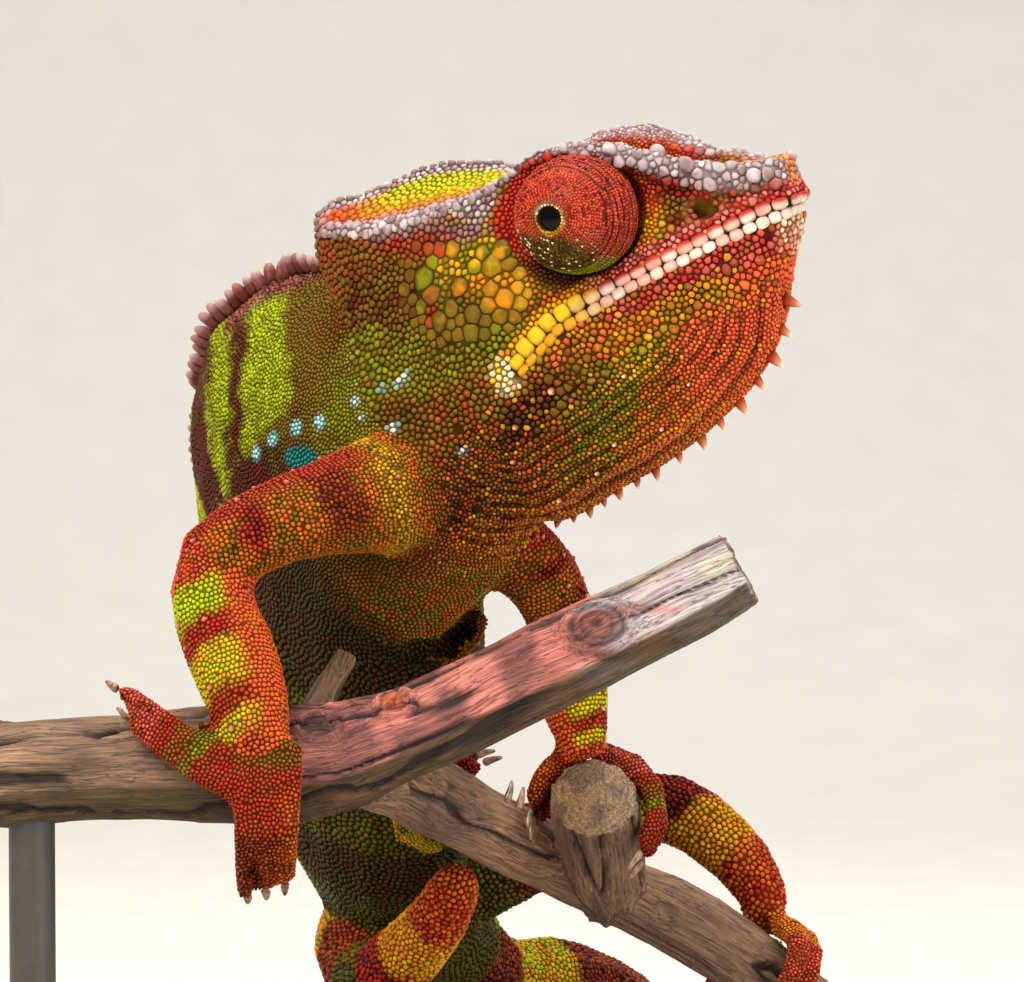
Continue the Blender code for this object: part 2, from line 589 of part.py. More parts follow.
# ---------------------------------------------------------------- perch and stand


def make_branch(name, line, grow=0.0, rings=14):
    """A length of branch with flat sawn ends."""
    return round_tube(name, line, BRANCH_SIDES, grow=grow, rings=rings, domed=False)


def rod(name, place, top):
    """A stand rod from the base up to a height, cut later by what it holds."""
    x, y = place
    foot = -PLACE[2] + BASE_THICK + GAP
    line = (((x, y, foot), ROD_RADIUS), ((x, y, top), ROD_RADIUS))
    return round_tube(name, line, 14, rings=2, start_up=(1, 0, 0), domed=False)


def make_base():
    """The flat base, a plate with round corners and a bevelled upper edge."""
    bm = bmesh.new()
    corners = []
    for cx, cy, start in ((1, 1, 0), (-1, 1, 90), (-1, -1, 180), (1, -1, 270)):
        for step in range(6):
            a = math.radians(start + 18 * step)
            corners.append((cx * (BASE_HALF[0] - BASE_CORNER) + BASE_CORNER * math.cos(a),
                            cy * (BASE_HALF[1] - BASE_CORNER) + BASE_CORNER * math.sin(a)))
    face = bm.faces.new([bm.verts.new((x - PLACE[0], y - PLACE[1], -PLACE[2])) for x, y in corners])
    extruded = bmesh.ops.extrude_face_region(bm, geom=[face], use_keep_orig=True)["geom"]
    moved = [item for item in extruded if isinstance(item, bmesh.types.BMVert)]
    bmesh.ops.translate(bm, verts=moved, vec=(0, 0, BASE_THICK))
    bmesh.ops.recalc_face_normals(bm, faces=bm.faces)
    top = [edge for edge in bm.edges if all(vert in moved for vert in edge.verts)]
    bmesh.ops.bevel(bm, geom=top, offset=1.6, offset_type="OFFSET", segments=2, profile=0.5,
                    affect="EDGES", material=-1)
    return new_object("stand_base", bm)


# ---------------------------------------------------------------- finishes


def finish(prefixes, name, colour, roughness, metallic=0.0):
    """Gives a Principled material to every object whose name starts with one of the prefixes."""
    material = bpy.data.materials.new(name)
    material.use_nodes = True
    shader = material.node_tree.nodes["Principled BSDF"]
    shader.inputs["Base Color"].default_value = (*colour, 1.0)
    shader.inputs["Roughness"].default_value = roughness
    shader.inputs["Metallic"].default_value = metallic
    for obj in bpy.data.objects:
        if obj.name.startswith(prefixes):
            obj.data.materials.clear()
            obj.data.materials.append(material)
            obj.data.shade_smooth()
            obj.data.set_sharp_from_angle(angle=math.radians(50))


def clear_scene():
    """Removes whatever the scene holds."""
    for obj in list(bpy.data.objects):
        bpy.data.objects.remove(obj)


def make_animal(branches):
    """Head, body, tail and limbs."""
    head = make_head()
    body = skin_rings(body_rings(), "trunk")
    body_grown = skin_rings(body_rings(GAP), "body_grown")
    whole = combine(head, "UNION", [body])
    nape, throat = from_head((-34.0, 0, -9.0)), from_head((-14.5, 0, -38.5))
    across = head_axes()[1]
    head, neck = split(whole, nape, -np.cross(unit(throat - nape), across), "head", "neck")
    neck, _ = split(neck, BODY_STATIONS[2][0], (-0.66, 0.55, -0.42), "neck", "trunk")
    combine(head, "DIFFERENCE", [orbit(-1), orbit(1)])
    jaw = combine(copy_of(head, "jaw"), "INTERSECT", [jaw_wedge(0.0)])
    jaw.name = "jaw"
    combine(head, "DIFFERENCE", [jaw_wedge(GAP)])
    make_eye(-1, "right")
    make_eye(1, "left")
    make_tail()
    for name, (leg, inner, outer) in foot_plans().items():
        make_leg(name, leg, inner, outer, body_grown, branches)
    bpy.data.objects.remove(body_grown)


def make_perch():
    """The forked perch in lengths that don't overlap, and the grown copies that cut what grips it."""
    parts = {"perch_branch": BRANCH_MAIN, "perch_fork": BRANCH_FORK, "perch_stub": BRANCH_STUB,
             "perch_twig": BRANCH_TWIG}
    grown = {name: make_branch(f"{name}_grown", line, grow=GAP, rings=len(line) + 3)
             for name, line in parts.items()}
    solids = {name: make_branch(name, line, rings=len(line) + 3) for name, line in parts.items()}
    combine(solids["perch_fork"], "DIFFERENCE", [copy_of(grown["perch_branch"], "cut")])
    combine(solids["perch_twig"], "DIFFERENCE", [copy_of(grown["perch_branch"], "cut")])
    combine(solids["perch_stub"], "DIFFERENCE", [copy_of(grown["perch_fork"], "cut")])
    return grown


def main():
    """Builds the whole part."""
    clear_scene()
    branches = make_perch()
    make_animal(list(branches.values()))
    for name, place, top in (("stand_rod_left", ROD_LEFT, -30.0), ("stand_rod_right", ROD_RIGHT, -58.0)):
        combine(rod(name, place, top), "DIFFERENCE", [copy_of(branches[n], "cut")
                                                      for n in ("perch_branch", "perch_fork")])
    make_base()
    for helper in branches.values():
        bpy.data.objects.remove(helper)
    finish(("head", "jaw", "neck", "trunk"), "scaly_skin", (0.42, 0.20, 0.04), 0.5)
    finish(("tail", "upper_arm", "forearm", "thigh", "shin", "hand", "foot"), "banded_skin",
           (0.45, 0.10, 0.03), 0.5)
    finish(("eye_turret",), "turret_skin", (0.50, 0.08, 0.03), 0.45)
    finish(("eyeball",), "eye_glass", (0.01, 0.008, 0.006), 0.05)
    finish(("claw",), "claw_horn", (0.30, 0.22, 0.14), 0.4)
    finish(("perch",), "bark", (0.28, 0.14, 0.10), 0.8)
    finish(("stand",), "painted_metal", (0.02, 0.02, 0.02), 0.4)


main()
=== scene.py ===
"""A life-size panther chameleon on a cut branch: one skin, its scales, eyes, claws, perch and stand.

Lengths are millimetres in the script and become metres where a mesh is made.
"""

import logging
import math
from dataclasses import dataclass, field
from enum import Enum

import bmesh
import bpy
import numpy as np
from mathutils import Matrix, Vector
from mathutils.bvhtree import BVHTree
from mathutils.kdtree import KDTree


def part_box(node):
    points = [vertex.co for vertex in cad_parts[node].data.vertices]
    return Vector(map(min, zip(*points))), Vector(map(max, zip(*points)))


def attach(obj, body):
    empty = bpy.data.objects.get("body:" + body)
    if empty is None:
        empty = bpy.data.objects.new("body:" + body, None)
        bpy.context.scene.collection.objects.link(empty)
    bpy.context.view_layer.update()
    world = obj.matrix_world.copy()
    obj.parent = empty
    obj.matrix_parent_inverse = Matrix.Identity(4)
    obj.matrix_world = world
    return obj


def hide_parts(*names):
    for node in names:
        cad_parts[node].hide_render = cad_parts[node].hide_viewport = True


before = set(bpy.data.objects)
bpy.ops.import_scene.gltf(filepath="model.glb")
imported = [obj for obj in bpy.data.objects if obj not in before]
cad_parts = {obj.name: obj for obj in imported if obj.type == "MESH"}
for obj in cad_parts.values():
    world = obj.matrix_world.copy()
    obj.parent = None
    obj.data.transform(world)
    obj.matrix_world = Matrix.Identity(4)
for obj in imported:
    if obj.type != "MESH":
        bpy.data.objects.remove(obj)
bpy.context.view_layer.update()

MM = 0.001
log = logging.getLogger("chameleon")

BODY = "root"
COAT_ROOM = 0.34  # mm from the solids down to the skin under the scales
PATCH = 0.003  # width of one scale's patch on the OFBake map
MOST_TRIANGLES = 190_000  # in one piece of the coat
FOOT_AHEAD, FOOT_ASIDE = -0.5, 10.0  # middle of a turret's foot in the head's frame
RAY = 30.0  # mm from the middle of the head to where a ray starts outside it

Array = np.ndarray


# ---- numbers


def unit(rows: Array) -> Array:
    """Rows scaled to length 1."""
    rows = np.asarray(rows, float)
    return rows / np.maximum(np.linalg.norm(rows, axis=-1, keepdims=True), 1e-12)


def ease(low: float, high: float, value: Array) -> Array:
    """0 below low, 1 above high and a smooth rise between."""
    share = np.clip((np.asarray(value, float) - low) / (high - low), 0.0, 1.0)
    return share * share * (3.0 - 2.0 * share)


def blend(first: object, second: object, share: Array) -> Array:
    """Rows part way from first to second, each of which is a pigment or rows of linear light."""
    first, second = (hue.light() if isinstance(hue, Pigment) else hue for hue in (first, second))
    return first + (second - first) * np.asarray(share)[..., None]


def layered(colours: Array, *layers: tuple) -> Array:
    """Colours under layers of (pigment or rows of linear light, share)."""
    for hue, share in layers:
        colours = blend(colours, hue, share)
    return colours


def along(knots: tuple, at: Array) -> Array:
    """Value at a distance along a line of (distance, value) pairs."""
    places, values = np.array(knots, float).T
    return np.interp(at, places, values)


def running(line: Array) -> Array:
    """Distance along a line, at each of its places."""
    return np.insert(np.cumsum(sizes_of(np.diff(line, axis=0))), 0, 0.0)


def sizes_of(rows: Array) -> Array:
    """Length of each row."""
    return np.linalg.norm(rows, axis=-1)


def row_at(at: float | Array, run: Array, rows: Array) -> Array:
    """A table's row, or rows, where its running number has a value."""
    return np.stack([np.interp(at, run, column) for column in rows.T], axis=-1)


def across(rows: Array, way: Array) -> Array:
    """Rows without what runs along a way, scaled to length 1."""
    return unit(rows - way * (rows * way).sum(-1)[..., None])


def bell(value: Array, wide: float) -> Array:
    """1 at 0 and less on both sides."""
    return np.exp(-(value / wide) ** 2)


def wave(phase: Array) -> Array:
    """1 at every whole number and 0 halfway between."""
    return 0.5 + 0.5 * np.cos(phase * 2 * math.pi)


def even_angles(count: int) -> Array:
    """Angles that share a full turn."""
    return np.arange(count) * 2 * math.pi / count


def hashed(cells: Array, seed: int) -> Array:
    """A number from 0 to 1 for each whole-number cell."""
    mixed = cells[..., 0] * 374761393 + cells[..., 1] * 668265263 + cells[..., 2] * 914744513
    mixed = (mixed + seed * 1274126177) & 0xFFFFFFFF
    mixed = ((mixed ^ (mixed >> 13)) * 1274126177) & 0xFFFFFFFF
    return ((mixed ^ (mixed >> 16)) & 0xFFFFFF) / float(0xFFFFFF)


def cloud(points: Array, size: float, seed: int = 0) -> Array:
    """Smooth value noise from 0 to 1, with lumps of about that size."""
    scaled = points / size + 1000.0
    cell = np.floor(scaled).astype(np.int64)
    share = scaled - cell
    share = share * share * (3.0 - 2.0 * share)
    total = np.zeros(len(points))
    for corner in range(8):
        step = np.array([corner & 1, corner >> 1 & 1, corner >> 2 & 1])
        weight = np.prod(np.where(step, share, 1.0 - share), axis=1)
        total += weight * hashed(cell + step, seed)
    return total


# ---- finishes


def linear(red: int, green: int, blue: int) -> Array:
    """A display colour of 0 to 255 as linear light."""
    value = np.array([red, green, blue]) / 255.0
    return np.where(value <= 0.04045, value / 12.92, ((value + 0.055) / 1.055) ** 2.4)


class Pigment(Enum):
    """The colours of the animal and its perch."""

    LEMON = (214, 176, 34)
    YELLOW = (204, 146, 16)
    AMBER = (196, 116, 12)
    ORANGE = (190, 88, 14)
    RUST = (136, 54, 14)
    CORAL = (204, 74, 44)
    CRIMSON = (158, 32, 22)
    MAROON = (86, 26, 12)
    PINK = (222, 116, 100)
    ROSE = (186, 74, 62)
    LILAC = (140, 106, 106)
    PEARL = (184, 168, 166)
    CREAM = (232, 208, 160)
    WHITE = (226, 204, 186)
    PALE = (150, 206, 198)
    SKY = (128, 184, 180)
    TEAL = (30, 112, 104)
    LIME = (158, 168, 8)
    LEAF = (120, 122, 10)
    OLIVE = (104, 80, 10)
    MOSS = (58, 60, 10)
    OCHRE = (104, 76, 8)
    UMBER = (66, 36, 10)
    DARK = (34, 18, 9)
    BARK = (108, 80, 58)
    ASH = (160, 124, 92)
    PLUM = (136, 78, 68)
    PEELED = (206, 190, 166)
    TAN = (178, 130, 92)
    BLUSH = (206, 120, 104)
    FROST = (192, 174, 172)
    SCARLET = (178, 40, 28)
    EMBER = (238, 98, 46)

    def light(self) -> Array:
        """The pigment as linear light."""
        return linear(*self.value)


class Nodes:
    """The nodes of one material, made and linked by short calls."""

    def __init__(self, tree: bpy.types.NodeTree) -> None:
        """Keeps the tree and its shader."""
        self.tree = tree
        self.shader = tree.nodes["Principled BSDF"]

    def put(self, socket: bpy.types.NodeSocket, value: object) -> None:
        """Links an output to a socket, or sets a constant on it."""
        if isinstance(value, bpy.types.NodeSocket):
            self.tree.links.new(value, socket)
        else:
            socket.default_value = value

    def add(self, kind: str, out: str, *firsts: object, **values: object) -> bpy.types.NodeSocket:
        """Makes a node.

        Args:
            kind: its type, without the start that all share.
            out: the output that is asked for.
            firsts: constants or outputs for its first sockets, in order.
            values: its own settings (small letters) and its sockets (capitals, _ for a space).

        Returns:
            The output.
        """
        node = self.tree.nodes.new("ShaderNode" + kind)
        for key, value in values.items():
            if key.islower():
                setattr(node, key, value)
            else:
                self.put(node.inputs[key.replace("_", " ")], value)
        for socket, value in zip(node.inputs, firsts):
            self.put(socket, value)
        return node.outputs[out]

    def noise(self, scale: float, detail: float) -> bpy.types.NodeSocket:
        """Noise on the object's own coordinates."""
        return self.add("TexNoise", "Fac", self.add("TexCoord", "Object"), Scale=scale, Detail=detail)

    def marks(self, shade: bpy.types.NodeSocket) -> bpy.types.NodeSocket:
        """The mesh's own markings, made lighter and darker."""
        marking = self.add("Attribute", "Color", attribute_name="marking")
        return self.add("VectorMath", "Vector", marking, operation="SCALE", Scale=shade)

    def ramp(self, source: bpy.types.NodeSocket, *stops: tuple) -> bpy.types.NodeSocket:
        """A run of colour between two stops of (place, colour)."""
        node = self.tree.nodes.new("ShaderNodeValToRGB")
        for element, (at, colour) in zip(node.color_ramp.elements, stops):
            element.position, element.color = at, (*colour, 1.0)
        self.put(node.inputs["Fac"], source)
        return node.outputs["Color"]

    def shade(self, **values: object) -> None:
        """Sets the shader's sockets."""
        for key, value in values.items():
            self.put(self.shader.inputs[key.replace("_", " ")], value)

    def bump(self, height: bpy.types.NodeSocket, strength: float, distance: float) -> None:
        """Fine relief on the shader."""
        self.shade(Normal=self.add("Bump", "Normal", Height=height, Strength=strength, Distance=distance))


class Finish:
    """A finish, whose material is made once."""

    name: str

    def dress(self, nodes: Nodes) -> None:
        """Makes the nodes of the material."""
        raise NotImplementedError(nodes)

    def material(self) -> bpy.types.Material:
        """The material."""
        made = bpy.data.materials.get(self.name)
        if made is None:
            made = bpy.data.materials.new(self.name)
            made.use_nodes = True
            self.dress(Nodes(made.node_tree))
        return made


@dataclass(frozen=True)
class MarkedFinish(Finish):
    """A finish whose colour is the mesh's own markings, with fine grain and relief."""

    name: str
    roughness: float
    grain: float
    relief: float
    contrast: float = 0.12
    gloss: float = 0.02
    depth: float = 0.00006
    shine: float = 0.1

    def dress(self, nodes: Nodes) -> None:
        """Markings under a fine noise."""
        noise = nodes.noise(self.grain, 3.0)
        shade = nodes.add("MapRange", "Result", noise, 0.0, 1.0, 1.0 - self.contrast, 1.0 + self.contrast)
        nodes.shade(Roughness=self.roughness, Specular_IOR_Level=self.shine, Coat_Weight=self.gloss,
                    Coat_Roughness=0.3, Base_Color=nodes.marks(shade))
        nodes.bump(noise, self.relief, self.depth)


@dataclass(frozen=True)
class HornFinish(Finish):
    """Claw horn: pale and waxy, darker towards one end of a noise."""

    name: str = "translucent_claw"
    pale: Pigment = Pigment.ASH
    dark: Pigment = Pigment.DARK
    roughness: float = 0.28

    def dress(self, nodes: Nodes) -> None:
        """Horn that lets a little light through."""
        noise = nodes.noise(900.0, 4.0)
        colour = nodes.ramp(noise, (0.3, self.dark.light()), (0.62, self.pale.light()))
        nodes.shade(Roughness=self.roughness, Subsurface_Weight=0.25, Subsurface_Scale=1.0,
                    Subsurface_Radius=(0.0008, 0.0005, 0.0003), Base_Color=colour)
        nodes.bump(noise, 0.25, 0.00005)


@dataclass(frozen=True)
class PaintFinish(Finish):
    """Satin paint on the stand, with the faint unevenness of a brushed coat."""

    name: str = "stand_paint"
    colour: tuple = (58, 54, 50)
    roughness: float = 0.42
    grain: float = 420.0
    shift: float = 0.16

    def dress(self, nodes: Nodes) -> None:
        """Paint that varies a little in colour and gloss."""
        noise, base = nodes.noise(self.grain, 5.0), linear(*self.colour)
        rough = nodes.add("MapRange", "Result", noise, 0.0, 1.0, self.roughness - 0.08, self.roughness + 0.12)
        colour = nodes.ramp(noise, (0.35, base * (1.0 - self.shift)), (0.7, base * (1.0 + self.shift)))
        nodes.shade(Roughness=rough, Base_Color=colour)
        nodes.bump(noise, 0.12, 0.0001)


@dataclass(frozen=True)
class BarkFinish(Finish):
    """Weathered wood: the mesh's own markings with fibres and cracks that run along each branch."""

    name: str = "branch_bark"
    roughness: float = 0.7
    fibre: float = 3.2
    split: float = 1.1
    relief: float = 0.0003

    def dress(self, nodes: Nodes) -> None:
        """Two noises on the grain's own coordinates: one for the fibres, one whose middle is the cracks."""
        grain = nodes.add("Attribute", "Vector", attribute_name="grain")
        fibre, split = (nodes.add("TexNoise", "Fac", grain, Scale=scale, Detail=detail, Roughness=0.62)
                        for scale, detail in ((self.fibre, 7.0), (self.split, 3.0)))
        tone = nodes.add("MapRange", "Result", fibre, 0.32, 0.68, 0.45, 1.5)
        off = nodes.add("Math", "Value", split, 0.5, operation="SUBTRACT")
        away = nodes.add("Math", "Value", off, operation="ABSOLUTE")
        gap = nodes.add("MapRange", "Result", away, 0.004, 0.02, 0.35, 1.0)
        shade = nodes.add("Math", "Value", tone, gap, operation="MULTIPLY")
        nodes.shade(Roughness=self.roughness, Base_Color=nodes.marks(shade))
        nodes.bump(shade, 0.9, self.relief)


SKIN_FINISH = MarkedFinish("skin_between_scales", 0.75, 2600.0, 0.3, gloss=0.0, shine=0.04)
SCALE_FINISH = MarkedFinish("scales", 0.4, 3800.0, 0.35)
PLATE_FINISH = MarkedFinish("horny_plates", 0.42, 1500.0, 0.9, contrast=0.3, depth=0.00012)
TURRET_FINISH = MarkedFinish("turret_granules", 0.42, 4200.0, 0.3)
EYE_FINISH = MarkedFinish("wet_eye", 0.05, 3000.0, 0.02, contrast=0.04, gloss=0.0, shine=0.12)
BARK_FINISH = BarkFinish()
HORN_FINISH = HornFinish()
STAND_FINISH = PaintFinish()


# ---- meshes


def linked(name: str, data: bpy.types.ID) -> bpy.types.Object:
    """A new object in the scene."""
    obj = bpy.data.objects.new(name, data)
    bpy.context.scene.collection.objects.link(obj)
    return obj


def placed(name: str, mesh: bpy.types.Mesh, finish: Finish) -> bpy.types.Object:
    """An object for a mesh, with its finish, riding on the body."""
    obj = linked(name, mesh)
    mesh.materials.clear()
    mesh.materials.append(finish.material())
    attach(obj, BODY)
    return obj


def read(rows: bpy.types.bpy_prop_collection, name: str, width: int, kind: type) -> Array:
    """One property of every element, as rows."""
    flat = np.empty(len(rows) * width, kind)
    rows.foreach_get(name, flat)
    return flat.reshape(-1, width)


def mesh_of(bm: bmesh.types.BMesh, name: str, smooth: bool = True) -> bpy.types.Mesh:
    """The mesh of a finished bmesh, all smooth or shaded as the bmesh says."""
    mesh = bpy.data.meshes.new(name)
    bm.to_mesh(mesh)
    bm.free()
    if smooth:
        mesh.polygons.foreach_set("use_smooth", np.ones(len(mesh.polygons), bool))
    return mesh


def mesh_from(name: str, points: Array, faces: Array) -> bpy.types.Mesh:
    """A smooth-shaded mesh from points in mm and faces that all have the same corner count."""
    mesh = bpy.data.meshes.new(name)
    sides = faces.shape[1]
    mesh.vertices.add(len(points))
    mesh.vertices.foreach_set("co", np.asarray(points * MM, np.float32).ravel())
    mesh.loops.add(faces.size)
    mesh.loops.foreach_set("vertex_index", faces.astype(np.int32).ravel())
    mesh.polygons.add(len(faces))
    mesh.polygons.foreach_set("loop_start", np.arange(0, faces.size, sides, dtype=np.int32))
    mesh.update(calc_edges=True)
    mesh.validate()
    mesh.polygons.foreach_set("use_smooth", np.ones(len(mesh.polygons), bool))
    return mesh


def add_markings(mesh: bpy.types.Mesh, colours: Array) -> None:
    """Stores one colour for each vertex as the mesh's markings."""
    layer = mesh.color_attributes.new("marking", "FLOAT_COLOR", "POINT")
    rows = np.ones((len(colours), 4), np.float32)
    rows[:, :3] = np.clip(colours, 0.0, 1.0)
    layer.data.foreach_set("color", rows.ravel())


def triangles_of(obj: bpy.types.Object) -> tuple[Array, Array]:
    """Merged points in mm and triangles of a solid."""
    obj.data.calc_loop_triangles()
    points = read(obj.data.vertices, "co", 3, np.float32) / MM
    faces = read(obj.data.loop_triangles, "vertices", 3, np.int32)
    points, index = np.unique(np.round(points, 3), axis=0, return_inverse=True)
    faces = index.reshape(-1)[faces]
    return points, faces[(faces != np.roll(faces, 1, axis=1)).all(axis=1)]


def stacked(nodes: list[str], grow: float) -> tuple[Array, Array, Array]:
    """Points and triangles of several solids that are grown by some mm, and each triangle's solid."""
    points, faces, owners, start = [], [], [], 0
    for number, node in enumerate(nodes):
        own, corners = triangles_of(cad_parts[node])
        points.append(own + point_normals(own, corners) * grow)
        faces.append(corners + start)
        owners.append(np.full(len(corners), number))
        start += len(own)
    return np.vstack(points), np.vstack(faces), np.concatenate(owners)


def point_normals(points: Array, faces: Array) -> Array:
    """Area-weighted normal at each point of a triangle or quad mesh."""
    first, second = points[faces[:, 2]] - points[faces[:, 0]], points[faces[:, -1]] - points[faces[:, 1]]
    if faces.shape[1] == 3:
        first, second = points[faces[:, 1]] - points[faces[:, 0]], points[faces[:, 2]] - points[faces[:, 0]]
    across = np.cross(first, second)
    total = np.zeros_like(points)
    for corner in range(faces.shape[1]):
        for axis in range(3):
            total[:, axis] += np.bincount(faces[:, corner], across[:, axis], len(points))
    return unit(total)


def neighbour_mean(points: Array, edges: Array, counts: Array) -> Array:
    """Mean of the neighbours of each point."""
    total = np.zeros_like(points)
    for axis in range(points.shape[1]):
        for here, there in (edges.T, edges.T[::-1]):
            total[:, axis] += np.bincount(here, points[there, axis], len(points))
    return total / np.maximum(counts, 1)[:, None]


def melted(nodes: list[str], grow: float, voxel: float, rounds: int, name: str) -> tuple[Array, Array]:
    """One closed quad mesh over several solids: each grown a little, then joined on a fine grid.

    Args:
        nodes: the solids to join.
        grow: mm that each is grown, to bridge the cuts between them.
        voxel: mm of the grid.
        rounds: rounds of smoothing.
        name: a name for the passing mesh.

    Returns:
        Points in mm and quads.
    """
    points, faces, _ = stacked(nodes, grow)
    obj = linked(name, mesh_from(name, points, faces))
    remesh = obj.modifiers.new("join", "REMESH")
    remesh.mode, remesh.voxel_size, remesh.adaptivity = "VOXEL", voxel * MM, 0.0
    made = bpy.data.meshes.new_from_object(obj.evaluated_get(bpy.context.evaluated_depsgraph_get()))
    points, faces = largest_island(read(made.vertices, "co", 3, np.float32).astype(float) / MM,
                                   read(made.polygons, "vertices", 4, np.int32))
    bpy.data.meshes.remove(obj.data)
    bpy.data.meshes.remove(made)
    return smoothed(points, faces, rounds), faces


def largest_island(points: Array, faces: Array) -> tuple[Array, Array]:
    """The connected part of a mesh with the most faces."""
    label = np.arange(len(points))
    while True:
        low = label[faces].min(axis=1)
        fresh = label.copy()
        for corner in range(faces.shape[1]):
            np.minimum.at(fresh, faces[:, corner], low)
        fresh = fresh[fresh]
        if (fresh == label).all():
            break
        label = fresh
    values, counts = np.unique(label[faces[:, 0]], return_counts=True)
    faces = faces[label[faces[:, 0]] == values[counts.argmax()]]
    used, index = np.unique(faces, return_inverse=True)
    return points[used], index.reshape(faces.shape)


def edges_of(faces: Array) -> Array:
    """Each edge of a mesh once."""
    pairs = np.vstack([np.stack([faces[:, i], faces[:, (i + 1) % faces.shape[1]]], axis=1)
                       for i in range(faces.shape[1])])
    return np.unique(np.sort(pairs, axis=1), axis=0)


def smoothed(points: Array, faces: Array, rounds: int) -> Array:
    """The points after rounds of smoothing that keep the volume."""
    edges = edges_of(faces)
    counts = np.bincount(edges.ravel(), minlength=len(points))
    for pull in (0.55, -0.56) * rounds:
        points = points + (neighbour_mean(points, edges, counts) - points) * pull
    return points


class Surface:
    """A closed surface that finds the nearest place on it, the normal there and a ray's first hit."""

    def __init__(self, points: Array, faces: Array) -> None:
        """Keeps the surface as triangles."""
        if faces.shape[1] == 4:
            faces = np.vstack([faces[:, [0, 1, 2]], faces[:, [0, 2, 3]]])
        self.points = points
        self.faces = faces
        self.normals = point_normals(points, faces)
        self.tree = BVHTree.FromPolygons(points.tolist(), faces.tolist())

    def nearest(self, places: Array) -> tuple[Array, Array]:
        """Nearest points of the surface, and the triangle of each."""
        found = [self.tree.find_nearest(place) for place in places.tolist()]
        return np.array([row[0] for row in found]), np.array([row[2] for row in found])

    def weights(self, places: Array, triangles: Array) -> Array:
        """How much each corner of its triangle counts at each place."""
        a, b, c = (self.points[self.faces[triangles, i]] for i in range(3))
        normal = np.cross(b - a, c - a)
        area = np.maximum((normal * normal).sum(1), 1e-12)
        second = (np.cross(places - a, c - a) * normal).sum(1) / area
        third = (np.cross(b - a, places - a) * normal).sum(1) / area
        return np.clip(np.stack([1 - second - third, second, third], axis=1), 0.0, 1.0)

    def normal_at(self, places: Array, triangles: Array) -> Array:
        """Smooth normals at places on known triangles."""
        share = self.weights(places, triangles)
        return unit((self.normals[self.faces[triangles]] * share[..., None]).sum(1))

    def hit(self, origin: Array, direction: Array) -> Array | None:
        """Where a ray first meets the surface."""
        found = self.tree.ray_cast(Vector(origin), Vector(direction))[0]
        return None if found is None else np.array(found)


# ---- anatomy


class Side(Enum):
    """Right and left of the animal, as the sign of the way across the head."""

    RIGHT = -1
    LEFT = 1

    def word(self) -> str:
        """The side as it stands in a node's name."""
        return self.name.lower()


def limb_nodes(side: Side) -> dict[str, list[str]]:
    """The solids of flesh of one side's legs, by the name of the leg."""
    word = side.word()
    return {
        f"arm_{word}": [f"upper_arm_{word}", f"forearm_{word}", f"hand_inner_{word}", f"hand_outer_{word}"],
        f"leg_{word}": [f"thigh_{word}", f"shin_{word}", f"foot_inner_{word}", f"foot_outer_{word}"],
    }


TAIL_NODES = [f"tail_{i}" for i in range(1, 7)]
LIMBS = {**limb_nodes(Side.RIGHT), **limb_nodes(Side.LEFT)}
FLESH = ["head", "jaw", "neck", "trunk", *TAIL_NODES, *(node for limb in LIMBS.values() for node in limb)]


def owned(owner: Array, *names: str) -> Array:
    """True where the name of the nearest solid starts with one of these."""
    return np.isin(owner, [i for i, node in enumerate(FLESH) if node.startswith(names)])


def on_head(owner: Array) -> Array:
    """True where the nearest solid is the head or the jaw."""
    return owned(owner, "head", "jaw")


def middle(node: str) -> Array:
    """Centre of a node's box in mm."""
    low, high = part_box(node)
    return np.array((low + high) / 2) / MM


